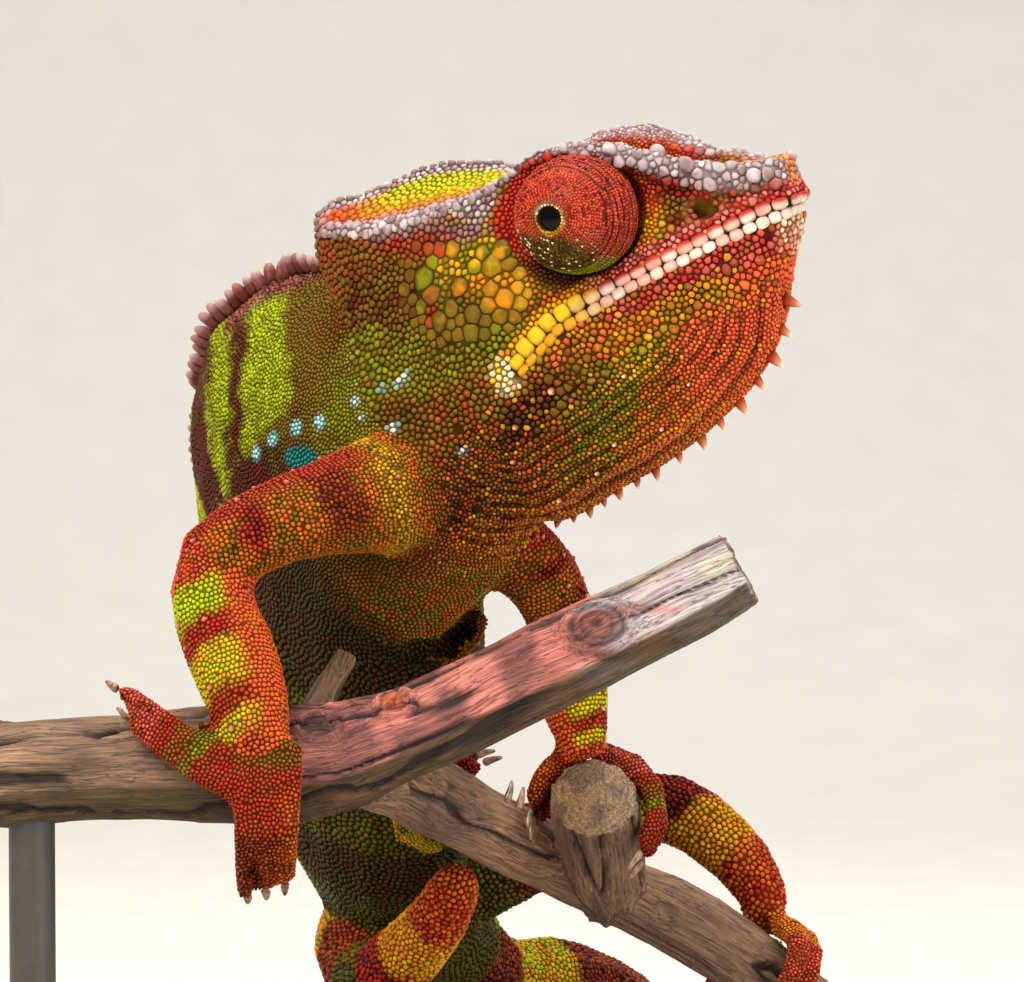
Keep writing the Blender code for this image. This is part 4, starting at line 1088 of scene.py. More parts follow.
@dataclass
class Skin:
    """One skin over all the flesh, a scale's depth inside the solids."""

    anatomy: Anatomy
    markings: Markings
    voxel: float = 0.67
    grow: float = 0.36
    mouth_depth: float = 0.28
    groove_width: float = 0.3
    ridge_rise: float = 0.75
    nostril: tuple = (12.6, 6.0, 0.1)
    toe_groove: float = 0.85

    def build(self) -> bpy.types.Object:
        """Melts the flesh into one mesh, sculpts it and unwraps it."""
        points, faces = melted(FLESH, self.grow, self.voxel, 6, "skin_blank")
        normals = point_normals(points, faces)
        owner = self.anatomy.owner(points)
        thin = owned(owner, "hand", "foot", "tail_6", "tail_5")
        points = points - normals * (self.grow + np.where(thin, 0.22, COAT_ROOM))[:, None]
        points = self.sculpt(points, normals, owner)
        self.surface = Surface(points, faces)
        mesh = mesh_from("skin", points, faces)
        head, on = self.anatomy.head.inside(points), on_head(owner)
        colours = self.markings.colours(points, owner, cloud(points, 1.1, 5))
        # painted shade: the skin between the scales is darkened to a fraction of its markings, less under the
        # pale crusted ridges
        colours = colours * (0.22 + 0.33 * self.markings.crust(head, owner))[:, None]
        height, run = self.anatomy.head.from_mouth(head)
        offset = self.mirrored(head) - self.nostril
        away = sizes_of(offset * (0.8, 0.0, 1.2)) + (np.abs(offset[:, 1]) > 3.5) * 9
        colours = layered(colours,
                          # painted shade along the mouth's groove, on the skin under the labials
                          (Pigment.UMBER.light() * 0.6, on * (ease(1.7, 1.3, np.abs(height)) * (run > 0.3))),
                          (Pigment.ROSE.light() * 0.6, on * bell(away - 1.55, 0.22)),
                          # painted shadow: a dark ring on the inner wall of each nostril pit, round its olive
                          # floor
                          (Pigment.DARK, on * (ease(1.45, 1.2, away) * 0.85)),
                          (Pigment.OLIVE.light() * 1.1, on * ease(1.1, 0.8, away)))
        add_markings(mesh, colours)
        skin = placed("skin", mesh, SKIN_FINISH)
        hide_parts(*FLESH)
        self.unwrap(skin)
        return skin

    def sculpt(self, points: Array, normals: Array, owner: Array) -> Array:
        """Presses in the mouth line, the nostrils and the folds of the throat."""
        head, on = self.anatomy.head.inside(points), on_head(owner)
        height, run = self.anatomy.head.from_mouth(head)
        press = self.mouth_depth * bell(height, self.groove_width) * on * (run > 0.05)
        mirror = self.mirrored(head)
        for (x, y, z), reach, depth in ((self.nostril, 1.1, 1.75), ((8.8, 6.4, 2.4), 2.2, 0.9)):
            away = sizes_of((mirror - (x, y, z)) * (0.8, 1.0, 1.1))
            press = press + depth * bell(away, reach) * on
        away = sizes_of(mirror - self.nostril)
        press = press - 0.55 * bell(away - 1.75, 0.42) * on
        press = press + self.toes(points, owner) + 0.5 * self.markings.furrows(head, on)
        wide = along(((-7, 1.3), (4, 1.5), (9, 2.2), (20, 2.4)), head[:, 0])
        away = np.abs(head[:, 2] - along(self.anatomy.head.ridge, head[:, 0]) + 0.55 * wide)
        band = on * ease(wide, 0.45 * wide, away) * ease(-9.0, 2.0, head[:, 0])
        press = press - self.ridge_rise * (0.6 + 0.8 * cloud(points, 1.8, 8)) * band
        return points - normals * press[:, None]

    @staticmethod
    def mirrored(head: Array) -> Array:
        """Places of the head brought to its left side."""
        return head * (1.0, 0.0, 1.0) + np.abs(head) * (0.0, 1.0, 0.0)

    def toes(self, points: Array, owner: Array) -> Array:
        """Depth of the grooves between the joined toes of each bundle, from the places of its claws."""
        press = np.zeros(len(points))
        for node in (name for name in FLESH if name.startswith(("hand", "foot"))):
            mine = owned(owner, node)
            claws = [middle(n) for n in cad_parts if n.startswith(f"claw_{node}")]
            for one, two in zip(claws, claws[1:]):
                tip = (one + two) / 2
                way = unit(tip - middle(node))
                offset = points[mine] - tip
                beside = bell(offset @ across(unit(two - one), way), 0.55)
                press[mine] += self.toe_groove * beside * ease(-12.0, -5.0, offset @ way)
        return press

    def unwrap(self, skin: bpy.types.Object) -> None:
        """Gives the skin its OFBake map, and keeps the map's place of each triangle's corners."""
        mesh = skin.data
        mesh.uv_layers.new(name="OFBake")
        bpy.ops.object.select_all(action="DESELECT")
        skin.select_set(True)
        bpy.context.view_layer.objects.active = skin
        bpy.ops.object.mode_set(mode="EDIT")
        bpy.ops.mesh.select_all(action="SELECT")
        bpy.ops.uv.smart_project(angle_limit=math.radians(66), island_margin=0.002)
        bpy.ops.object.mode_set(mode="OBJECT")
        corners = read(mesh.uv_layers["OFBake"].data, "uv", 2, np.float32).reshape(-1, 4, 2)
        self.uv = np.concatenate([corners[:, [0, 1, 2]], corners[:, [0, 2, 3]]])

    def uv_at(self, places: Array, triangles: Array) -> Array:
        """The map's place under each place on the skin."""
        share = self.surface.weights(places, triangles)
        return (self.uv[triangles] * share[..., None]).sum(1)


# ---- scales


class Kind(Enum):
    """What grows from a seed.

    Attributes:
        number: how it stands in an array.
        sides: corners of its outline.
        rings: (share of its outline, share of its height) of each ring, from the skin up.
    """

    SCALE = 0, 6, ((1.0, -0.3), (0.76, 0.66))
    PLATE = 1, 12, ((1.0, -0.3), (0.98, 0.25), (0.82, 0.72), (0.45, 0.95))
    LABIAL = 2, 20, ((1.0, -0.8), (1.0, 0.1), (0.9, 0.66), (0.55, 0.95))
    CONE = 3, 10, ((1.0, -0.15), (0.86, 0.22), (0.55, 0.62), (0.27, 0.9))
    LOBE = 4, 12, ((1.0, -0.1), (1.04, 0.2), (1.0, 0.5), (0.8, 0.78), (0.45, 0.95))

    def __init__(self, number: int, sides: int, rings: tuple) -> None:
        """Names the parts of the value."""
        self.number, self.sides, self.rings = number, sides, rings

    def triangles(self) -> int:
        """Triangles of one."""
        return 2 * self.sides * len(self.rings) - 2

    def finish(self) -> MarkedFinish:
        """The finish that it takes."""
        return SCALE_FINISH if self is Kind.SCALE else PLATE_FINISH


@dataclass
class Seeds:
    """Places where scales grow: place, radius, number of the kind, and height over mean reach."""

    places: Array
    radii: Array
    kinds: Array
    rise: Array

    @staticmethod
    def of(rows: list, kind: Kind) -> "Seeds":
        """Seeds of one kind from rows of (x, y, z, radius, rise)."""
        table = np.array(rows, float).reshape(-1, 5)
        return Seeds(table[:, :3], table[:, 3], np.full(len(table), kind.number), table[:, 4])

    @staticmethod
    def joined(*groups: "Seeds") -> "Seeds":
        """All the seeds of several groups."""
        return Seeds(*map(np.concatenate, zip(*(vars(group).values() for group in groups))))

    def kept(self, keep: Array) -> "Seeds":
        """Only the seeds of a mask."""
        return Seeds(*(rows[keep] for rows in vars(self).values()))


@dataclass
class Grown:
    """Every scale in its place: its seed, the skin's normal, the way it points and its neighbours."""

    seeds: Seeds
    normals: Array
    lies: Array
    near: Array


@dataclass
class ScaleMesh:
    """Closed domed scales of one kind from their outlines."""

    kind: Kind
    places: Array
    normals: Array
    lies: Array
    outlines: Array
    heights: Array
    colours: Array
    roots: Array
    tips: Array | None = None
    uppers: Array | None = None
    mottle: tuple | None = None
    # how far each scale's painted shade and highlight are eased back towards its plain colour
    soft: Array | float = 0.0
    lean: float = 0.12

    def arrays(self, surface: Surface | None = None) -> tuple[Array, Array, Array, Array]:
        """The mesh of all the scales.

        Args:
            surface: where it is given, each scale bends to follow it.

        Returns:
            Points, triangles, vertex colours and corner places on the map.
        """
        count, sides = self.outlines.shape
        first = across(self.lies, self.normals)
        second = np.cross(self.normals, first)
        turn = np.stack([np.cos(even_angles(sides)), np.sin(even_angles(sides))], axis=1)
        most = self.outlines.max(axis=1)[:, None, None]
        blocks, flats, tints = [], [], []
        for spread, lift in (*self.kind.rings, (0.0, 1.0)):
            reach = self.outlines * spread
            lean = self.lean * max(lift, 0.0) * self.heights
            place = (self.places[:, None] + first[:, None] * (reach * turn[:, 0] + lean[:, None])[..., None]
                     + second[:, None] * (reach * turn[:, 1])[..., None])
            rise = (self.heights * lift)[:, None, None]
            if surface is not None and spread > 0:
                found, triangles = surface.nearest(place.reshape(-1, 3))
                normal = surface.normal_at(found, triangles).reshape(place.shape)
                place = found.reshape(place.shape) + unit(normal + self.normals[:, None]) * rise
            else:
                place = place + self.normals[:, None] * rise
            corners = sides if spread else 1
            tints.append(self.tint(lift, spread, turn[:, 1], place)[:, :corners])
            blocks.append(place[:, :corners])
            flat = reach[..., None] * turn[None] / most * PATCH / 2
            flats.append((self.roots[:, None] + flat)[:, :corners])
        points, flat, tint = (np.concatenate(rows, axis=1) for rows in (blocks, flats, tints))
        shift = (np.arange(count) * points.shape[1])[:, None, None]
        triangles = (self.faces(sides, len(self.kind.rings))[None] + shift).reshape(-1, 3)
        return points.reshape(-1, 3), triangles, tint.reshape(-1, 3), flat.reshape(-1, 2)[triangles]

    def tint(self, lift: float, spread: float, high: Array, place: Array) -> Array:
        """Colours of one ring: painted shade in the seam, towards the tip's colour and a painted highlight at
        the top.
        """
        base = np.repeat(self.colours[:, None], len(high), axis=1)
        if self.mottle is not None:
            flat = np.ascontiguousarray(place).reshape(-1, 3)
            share = (0.7 * cloud(flat, 0.8, 41) + 0.3 * cloud(flat, 0.3, 42)).reshape(base.shape[:2])
            first, second = (colours[:, None] for colours in self.mottle)
            base = blend(first, second, ease(0.3, 0.7, share + 0.3 * (spread - 0.6)))
        if self.uppers is not None:
            base = blend(base, self.uppers[:, None], ease(-0.15, 0.4, high * spread)[None])
        if self.tips is not None:
            base = blend(base, self.tips[:, None], ease(0.45, 0.95, np.full(base.shape[:2], lift)))
        # painted shade and highlight: the colour is darkened low in the seam and lifted above itself at the
        # top of each scale
        shade = along(((-0.3, 0.38), (0.3, 0.72), (0.66, 0.97), (1.0, 1.12)), lift)
        return base * np.reshape(shade + (1 - shade) * np.asarray(self.soft), (-1, 1, 1))

    @staticmethod
    def faces(sides: int, rings: int) -> Array:
        """Triangles of one scale: floor, walls and cap."""
        rows = [(0, i + 1, i) for i in range(1, sides - 1)]
        for ring in range(rings - 1):
            for i in range(sides):
                j = (i + 1) % sides
                low, high = ring * sides, (ring + 1) * sides
                rows.append((low + i, low + j, high + j))
                rows.append((low + i, high + j, high + i))
        last, apex = (rings - 1) * sides, rings * sides
        rows += [(last + i, last + (i + 1) % sides, apex) for i in range(sides)]
        return np.array(rows)

    def piece(self, name: str, slot: str, surface: Surface | None = None) -> bpy.types.Object:
        """One joined mesh of the scales, with their markings and their patches on the map."""
        points, triangles, tints, flats = self.arrays(surface)
        mesh = mesh_from(name, points, triangles)
        add_markings(mesh, tints)
        layer = mesh.uv_layers.new(name="OFBake")
        layer.data.foreach_set("uv", flats.astype(np.float32).ravel())
        return placed(name, mesh, TURRET_FINISH if slot == "turret_skin" else self.kind.finish())


def spread_roots(roots: Array) -> Array:
    """Root places stretched so that a piece fills its own map."""
    low, high = roots.min(0), roots.max(0)
    return PATCH + (roots - low) / np.maximum(high - low, 1e-9) * (1 - 2 * PATCH)


@dataclass
class Coat:
    """Scales over the whole skin, packed side by side and shaped by their neighbours."""

    anatomy: Anatomy
    markings: Markings
    skin: Skin
    seed: int = 7
    fill: float = 1.04
    rounds: int = 9
    seam: float = 0.03
    overlap: float = 1.03
    push: float = 0.42
    temple_tries: int = 175
    cheek_tries: int = 46
    throat_row: float = 0.56
    neck_row: float = 0.52
    # labials of each lip: (distance from the mouth's corner, half height) pairs, 1 above the
    # mouth line or -1 below it, and pitch
    upper_lip: tuple = (((0, 0.6), (3, 1.0), (12, 0.92), (17, 0.72), (99, 0.68)), 1.0, 1.9)
    lower_lip: tuple = (((0, 0.45), (3, 0.62), (14, 0.64), (99, 0.62)), -1.0, 1.6)
    lip_gap: float = 0.03
    gular: tuple = ((20.7, -10.7), (19.8, -14.2), (18.8, -17.3), (16.8, -20.2), (14.5, -22.8), (12.2, -25.0),
                    (9.7, -27.0), (7.0, -29.0), (4.0, -30.8), (1.8, -32.0), (-0.5, -33.0), (-2.3, -34.2),
                    (-4.1, -35.4), (-6.2, -36.5), (-8.4, -37.4), (-10.6, -37.6))
    warts: tuple = ((-14.8, -23.3, 0.8), (-3.7, -19.0, 0.7), (-14.0, -32.6, 0.75), (-9.0, -27.0, 0.6),
                    (-5.5, -32.0, 0.6), (1.5, -25.5, 0.6), (6.5, -24.0, 0.55), (-19.5, -27.5, 0.6),
                    (-1.0, -29.0, 0.5), (10.0, -19.0, 0.5), (4.0, -17.6, 0.5), (-8.0, -23.0, 0.6))

    def build(self) -> list[bpy.types.Object]:
        """All the pieces of the coat."""
        self.rng = np.random.default_rng(self.seed)
        fixed = Seeds.joined(self.cone_seeds(), self.crest_seeds(), self.lip_seeds(), self.plate_seeds())
        fixed = self.thinned(fixed)
        seeds = Seeds.joined(fixed, self.scattered(fixed))
        places, triangles = self.relax(seeds)
        seeds.places = places
        owner = self.anatomy.owner(places)
        normals, lies = self.skin.surface.normal_at(places, triangles), self.anatomy.lie(places, owner)
        lip = seeds.kinds == Kind.LABIAL.number
        lies[lip] = self.lip_lies(places[lip], normals[lip])
        grown = Grown(seeds, normals, lies, self.neighbours(places, 14))
        chance = np.clip(0.6 * self.rng.random(len(places)) + 0.4 * cloud(places, 2.0, 21), 0, 1)
        colours = self.speckled(self.markings.colours(places, owner, chance), places, owner)
        colours *= (0.75 + 0.5 * self.rng.random(len(places)))[:, None]
        crust = self.markings.crust(self.anatomy.head.inside(places), owner)
        roots = self.skin.uv_at(places, triangles)
        pieces = []
        for name, members in self.groups(places, owner).items():
            slot = "scaly_skin" if name.startswith(("head", "jaw")) else "banded_skin"
            for kind in Kind:
                picked = np.flatnonzero(members & (seeds.kinds == kind.number))
                if len(picked) < 3:
                    continue
                parts = math.ceil(len(picked) / (MOST_TRIANGLES // kind.triangles()))
                for number, chunk in enumerate(np.array_split(picked, parts)):
                    outlines = self.outlines(chunk, grown, kind.sides)
                    # the pale crusted ridges get a softer painted shade and highlight
                    shape = ScaleMesh(kind, places[chunk], normals[chunk], lies[chunk], outlines,
                                      outlines.mean(axis=1) * seeds.rise[chunk], colours[chunk],
                                      spread_roots(roots[chunk]), soft=0.55 * crust[chunk])
                    self.finish_kind(shape, seeds.kept(chunk))
                    if kind is Kind.PLATE:
                        pair = self.markings.pair(places[chunk], owner[chunk])
                        self.mottle_plates(shape, pair, chance[chunk], crust[chunk])
                    word = "" if kind is Kind.SCALE else kind.name.lower() + "_"
                    label = f"scales_{word}{name}" + (f"_{number + 1}" if number else "")
                    bends = kind in (Kind.PLATE, Kind.LABIAL)
                    pieces.append(shape.piece(label, slot, self.skin.surface if bends else None))
        return pieces

    def mottle_plates(self, shape: ScaleMesh, pair: Mingled, chance: Array, crust: Array) -> None:
        """Gives each plate two colours that mingle within it."""
        vary = (0.75 + 0.4 * self.rng.random(len(chance)))[:, None]
        main_hue = np.where((chance > 0.55)[:, None], pair.second, pair.first)
        shape.mottle = (main_hue * vary, blend(pair.second, Pigment.OLIVE, 0.5 * (1 - crust)) * vary * 0.8)

    def speckled(self, colours: Array, places: Array, owner: Array) -> Array:
        """Single scales of jaw and throat in olive, coral or yellow among their neighbours."""
        head = self.anatomy.head.inside(places)
        height, _ = self.anatomy.head.from_mouth(head)
        on = owned(owner, "head", "jaw", "neck") & (height < -1.0)
        draw = self.rng.random(len(places))
        for low, high, hue in zip((0.0, 0.16, 0.27), (0.16, 0.27, 0.36), named("OLIVE CORAL YELLOW")):
            colours = blend(colours, hue, on * (draw >= low) * (draw < high) * 0.6)
        temple = np.exp(-((head[:, 0] + 14.5) / 8.0) ** 2 - ((head[:, 2] + 8.5) / 6.0) ** 2) * (height > 2.0)
        return blend(colours, Pigment.OLIVE.light() * 0.75, temple * ease(0.1, 0.5, draw) * 0.8)

    def finish_kind(self, shape: ScaleMesh, seeds: Seeds) -> None:
        """Gives labials their oblong two-tone faces, and cones and lobes their size and pale tips."""
        head, count = self.anatomy.head.inside(shape.places), len(shape.places)
        if shape.kind in (Kind.CONE, Kind.LOBE):
            shape.outlines = np.minimum(shape.outlines, seeds.radii[:, None])
            shape.heights = seeds.radii * seeds.rise
        if shape.kind is Kind.LABIAL:
            shape.outlines, shape.heights = self.lip_outlines(shape.places, shape.kind.sides)
            height, run = self.anatomy.head.from_mouth(head)
            ahead, over, shape.lean = ease(9.0, 15.0, run), (height > 0)[:, None], 0.0
            pale = blend(Pigment.LEMON, Pigment.WHITE, ahead)
            pale = pale * (0.8 + 0.2 * self.rng.random(count))[:, None]
            pale = blend(pale, Pigment.PINK, (self.rng.random(count) < 0.3) * 0.5 * ahead)
            rear = blend(pale, Pigment.AMBER, 0.6)
            shape.colours = np.where(over, pale, blend(rear, pale, ahead))
            upper = blend(blend(Pigment.YELLOW, Pigment.CRIMSON, ahead), Pigment.LEMON, 0.35 * (1 - ahead))
            shape.uppers = np.where(over, upper, blend(shape.colours, Pigment.ROSE, 0.3))
            shape.mottle = (shape.colours, blend(shape.colours, Pigment.OCHRE, 0.35))
        elif shape.kind is Kind.LOBE:
            shape.lean = 0.1
            shape.colours = blend(Pigment.MAROON, Pigment.PLUM, self.rng.random(count))
            shape.tips = blend(Pigment.PLUM, Pigment.PEARL, self.rng.random(count) * 0.8)
        elif shape.kind is Kind.CONE:
            shape.lean = 0.3
            front = ease(-12.0, 0.0, head[:, 0]) * ease(-8.0, -14.0, head[:, 2])
            base = blend(Pigment.MAROON, Pigment.CORAL, np.maximum(front, 0.35))
            shape.colours = blend(shape.colours, base, 0.75)
            shape.tips = blend(Pigment.PINK, Pigment.CREAM, front)

    def groups(self, places: Array, owner: Array) -> dict[str, Array]:
        """Which scales belong to each named length of the body."""
        left_half = self.anatomy.head.inside(places)[:, 1] > 0
        on_trunk = self.anatomy.backbone.left_of(places)
        made = {}
        for node in ("head", "jaw", "neck", "trunk"):
            mine, left = owned(owner, node), on_trunk if node == "trunk" else left_half
            made[f"{node}_right"], made[f"{node}_left"] = mine & ~left, mine & left
        made["tail"] = owned(owner, "tail")
        return made | {limb: owned(owner, *nodes) for limb, nodes in LIMBS.items()}

    # ---- where scales grow

    def radius_at(self, points: Array, owner: Array, chance: Array) -> Array:
        """Half the distance between neighbouring scales at each place."""
        head = self.anatomy.head.inside(points)
        x, _, z = head.T
        height, _ = self.anatomy.head.from_mouth(head)
        run, girth, _ = self.anatomy.backbone.coordinates(points)
        on = on_head(owner)
        rows = [
            (owned(owner, "trunk"), 0.29 + 0.14 * ease(28.0, 50.0, run) + 0.04 * ease(0.25, 0.0, girth)),
            (owned(owner, "neck"), 0.28),
            (owned(owner, "upper_arm", "forearm"), 0.28 + 0.05 * chance),
            (owned(owner, "thigh", "shin"), 0.40),
            (owned(owner, "hand", "foot"), 0.27),
            *((owned(owner, node), 0.45 - 0.022 * int(node[-1])) for node in TAIL_NODES),
            (on, 0.34),
            (on & (height < 0), 0.34 + 0.2 * chance ** 3),
            (on & (height < -7.5), 0.3),
            (on & (height > 0) & (x < -7.0) & (x > -24), 0.34 + 0.14 * chance),
            (on & (x <= -24), 0.4 + 0.16 * chance),
            (on & (x > 6.5) & (height > 2.2), 0.34 + 0.2 * chance ** 2),
            (on & (np.hypot(x - FOOT_AHEAD, z) < 8.4), 0.27),
        ]
        radius = np.full(len(points), 0.44)
        for where, size in rows:
            radius = np.where(where, size, radius)
        return radius

    def scattered(self, fixed: Seeds) -> Seeds:
        """Seeds strewn over the skin as densely as their sizes need, clear of the fixed ones."""
        surface = self.skin.surface
        corners = surface.points[surface.faces]
        a, b, c = corners.transpose(1, 0, 2)
        areas = sizes_of(np.cross(b - a, c - a)) / 2
        centres = corners.mean(axis=1)
        owner = self.anatomy.owner(centres)
        trial = [self.radius_at(centres, owner, self.rng.random(len(centres))) for _ in range(4)]
        mean_area = np.mean([radius ** 2 for radius in trial], axis=0) * 2 * math.sqrt(3.0)
        total = np.cumsum(areas / mean_area * self.fill * self.open_skin(centres))
        count = int(total[-1])
        picks = np.searchsorted(total, (np.arange(count) + self.rng.random(count)) / count * total[-1])
        picks = np.clip(picks, 0, len(total) - 1)
        share = self.rng.random((count, 2))
        over = share.sum(axis=1) > 1
        share[over] = 1 - share[over]
        a, b, c = corners[picks].transpose(1, 0, 2)
        places = a + (b - a) * share[:, :1] + (c - a) * share[:, 1:]
        radii = self.radius_at(places, owner[picks], self.rng.random(count))
        made = Seeds(places, radii, np.zeros(count, int), 0.56 + 0.2 * self.rng.random(count))
        tree = self.tree_of(fixed.places)
        room = fixed.radii * np.where(fixed.kinds == Kind.PLATE.number, 1.12, 0.95)
        clear = (all(gap >= room[index] for _, index, gap in tree.find_range(place, 1.8))
                 for place in places.tolist())
        return made.kept(np.fromiter(clear, bool))

    def thinned(self, seeds: Seeds) -> Seeds:
        """The fixed seeds without those that would grow into an earlier one."""
        tree = self.tree_of(seeds.places)
        keep = np.ones(len(seeds.places), bool)
        lip = seeds.kinds == Kind.LABIAL.number
        for i, place in enumerate(seeds.places.tolist()):
            for _, index, gap in tree.find_range(place, 2.6):
                near = seeds.radii[i] + seeds.radii[index]
                if index < i and keep[index] and not lip[i] and gap < near * 0.8:
                    keep[i] = False
        return seeds.kept(keep)

    def open_skin(self, points: Array) -> Array:
        """1 where scales grow, 0 in the eye sockets and along the lips, which have their own."""
        head = self.anatomy.head.inside(points)
        height, run = self.anatomy.head.from_mouth(head)
        top, low = 1.85 * along(self.upper_lip[0], run), -1.55 * along(self.lower_lip[0], run)
        bare = (height < top) & (height > low) & (run > 0.4) & (head[:, 2] > -20)
        x, y, z = self.skin.nostril
        for side in Side:
            bare |= sizes_of((head - (-0.4, side.value * FOOT_ASIDE, 0.0)) / np.array([6.8, 6.7, 6.4])) < 1.02
            bare |= sizes_of((head - (x, side.value * y, z)) * (0.75, 1.0, 1.0)) < 1.45
        return 1.0 - bare

    def seen(self, place: tuple, axis: int, sign: float) -> Array | None:
        """The skin's first place from a place of the head's frame, along one of its axes."""
        head = self.anatomy.head
        return self.skin.surface.hit(head.outside(place), sign * head.axes[axis])

    def on_side(self, x: float, z: float, side: Side) -> Array | None:
        """The skin's place seen from one side at a height and length of the head's frame."""
        return self.seen((x, side.value * RAY, z), 1, -side.value)

    @staticmethod
    def row(found: Array | None, radius: float, rise: float) -> list[tuple]:
        """The seed where a ray has met the skin, or none."""
        return [] if found is None else [(*found, radius, rise)]

    def lip_line(self) -> Array:
        """The mouth line on the skin, from its right corner round the snout to its left corner."""
        head = self.anatomy.head
        knots = np.array(head.mouth)
        lengths = running(knots)
        flank = [self.on_side(*row_at(run, lengths, knots), Side.RIGHT)
                 for run in np.arange(0.3, lengths[-1] - 0.25, 0.2)]
        flank = head.inside(np.array([found for found in flank if found is not None]))
        flank[:, 1] = -np.abs(flank[:, 1])
        front = [self.seen((34.0, share * abs(flank[-1, 1]), knots[-1, 1]), 0, -1)
                 for share in np.linspace(-0.9, 0.9, 9)]
        front = head.inside(np.array([found for found in front if found is not None]).reshape(-1, 3))
        return head.outside(np.vstack([flank, front, flank[::-1] * (1, -1, 1)]))

    def lip_seeds(self) -> Seeds:
        """The labials: one row over the mouth line and a lower one under it, round the whole snout."""
        line = self.lip_line()
        length = running(line)
        rows = []
        self.lip_rows = []
        for halves, way_up, pitch in (self.upper_lip, self.lower_lip):
            count = max(4, round((length[-1] - 0.8) / pitch))
            step = (length[-1] - 0.8) / count
            for number in range(count):
                at = 0.4 + (number + 0.5) * step
                place, ahead, behind = (row_at(at + shift, length, line) for shift in (0.0, 0.5, -0.5))
                way = unit(ahead - behind)
                found, triangle = self.skin.surface.nearest(place[None])
                normal = self.skin.surface.normal_at(found, triangle)[0]
                up = np.cross(way, normal)
                up = unit(up if up @ self.anatomy.head.axes[2] > 0 else -up)
                half = along(halves, min(at, length[-1] - at)) * (0.92 + 0.16 * self.rng.random())
                seed = place + up * way_up * (0.94 * half + self.lip_gap)
                seed, _ = self.skin.surface.nearest(seed[None])
                rows.append((*seed[0], half, 0.4))
                self.lip_rows.append((*seed[0], *up, step / 2 - self.seam * 0.8, half))
        self.lip_rows = np.array(self.lip_rows)
        return Seeds.of(rows, Kind.LABIAL)

    def lip_matches(self, places: Array) -> Array:
        """The row of sizes of the labial nearest each place."""
        gaps = sizes_of(places[:, None] - self.lip_rows[None, :, :3])
        return self.lip_rows[gaps.argmin(axis=1)]

    def lip_lies(self, places: Array, normals: Array) -> Array:
        """Along the mouth for each labial, so that its own up is away from the jaw."""
        return unit(np.cross(self.lip_matches(places)[:, 3:6], normals))

    def lip_outlines(self, places: Array, sides: int) -> tuple[Array, Array]:
        """Rounded oblongs for the labials, and their heights."""
        rows = self.lip_matches(places)
        angles, power = even_angles(sides), 3.6
        long, tall = np.abs(np.cos(angles)) / rows[:, 6:7], np.abs(np.sin(angles)) / rows[:, 7:8]
        return (long ** power + tall ** power) ** (-1 / power), 0.14 + 0.26 * rows[:, 7]

    def plate_seeds(self) -> Seeds:
        """Large flat plates: ridges of brow and snout, rims of the casque, temples and cheeks."""
        rows = []
        nose_x, _, nose_z = self.skin.nostril
        for turn in np.arange(0, 2 * math.pi, math.pi / 5.5):
            for side in Side:
                x, z = nose_x + 2.05 * math.cos(turn), nose_z + 1.6 * math.sin(turn)
                rows += self.row(self.on_side(x, z, side), 0.36, 0.42)
        x = -34.5
        while x < 20.2:
            front, snout = float(ease(-7.5, -4.0, x)), float(ease(2.0, 8.0, x))
            radius = 0.46 + 0.1 * front + 0.08 * snout
            for drop in np.arange(0.35, 1.6 + 0.5 * front + 0.9 * snout, radius * 1.7):
                for side in Side:
                    jitter = self.rng.random(4) - 0.5
                    z = float(along(self.anatomy.head.ridge, x)) - drop
                    found = self.on_side(x + 1.1 * jitter[0] * radius, z + 0.8 * jitter[1] * radius, side)
                    rows += self.row(found, radius * (1.0 + 0.9 * jitter[2]), 0.75 + 0.8 * jitter[3])
            x += radius * 1.75
        for x in np.arange(-34.0, -10.0, 1.15):
            rows += self.row(self.seen((x, 0.0, RAY), 2, -1), 0.5, 1.0)
        for x in np.arange(4.0, 19.0, 1.5):
            for y in np.arange(-0.8, 0.81, 0.4) * along(RIDGE_SIDE, 12.0):
                jitter = (self.rng.random(3) - 0.5) * 0.8
                found = self.seen((x + jitter[0], y + jitter[1], RAY), 2, -1)
                rows += self.row(found, 0.62 + 0.3 * jitter[2], 0.4)
        rows += self.temple_plates()
        for _ in range(self.cheek_tries):
            u, v, size = self.rng.random(3)
            run, drop = 1.0 + 28.0 * u, 2.4 + 4.2 * v
            x, z = -7.9 + run * 0.83 + drop * 0.5, -17.4 + run * 0.56 - drop * 0.8
            for side in Side:
                rows += self.row(self.on_side(x, z, side), 0.44 + 0.2 * size, 0.62)
        return Seeds.of(rows, Kind.PLATE)

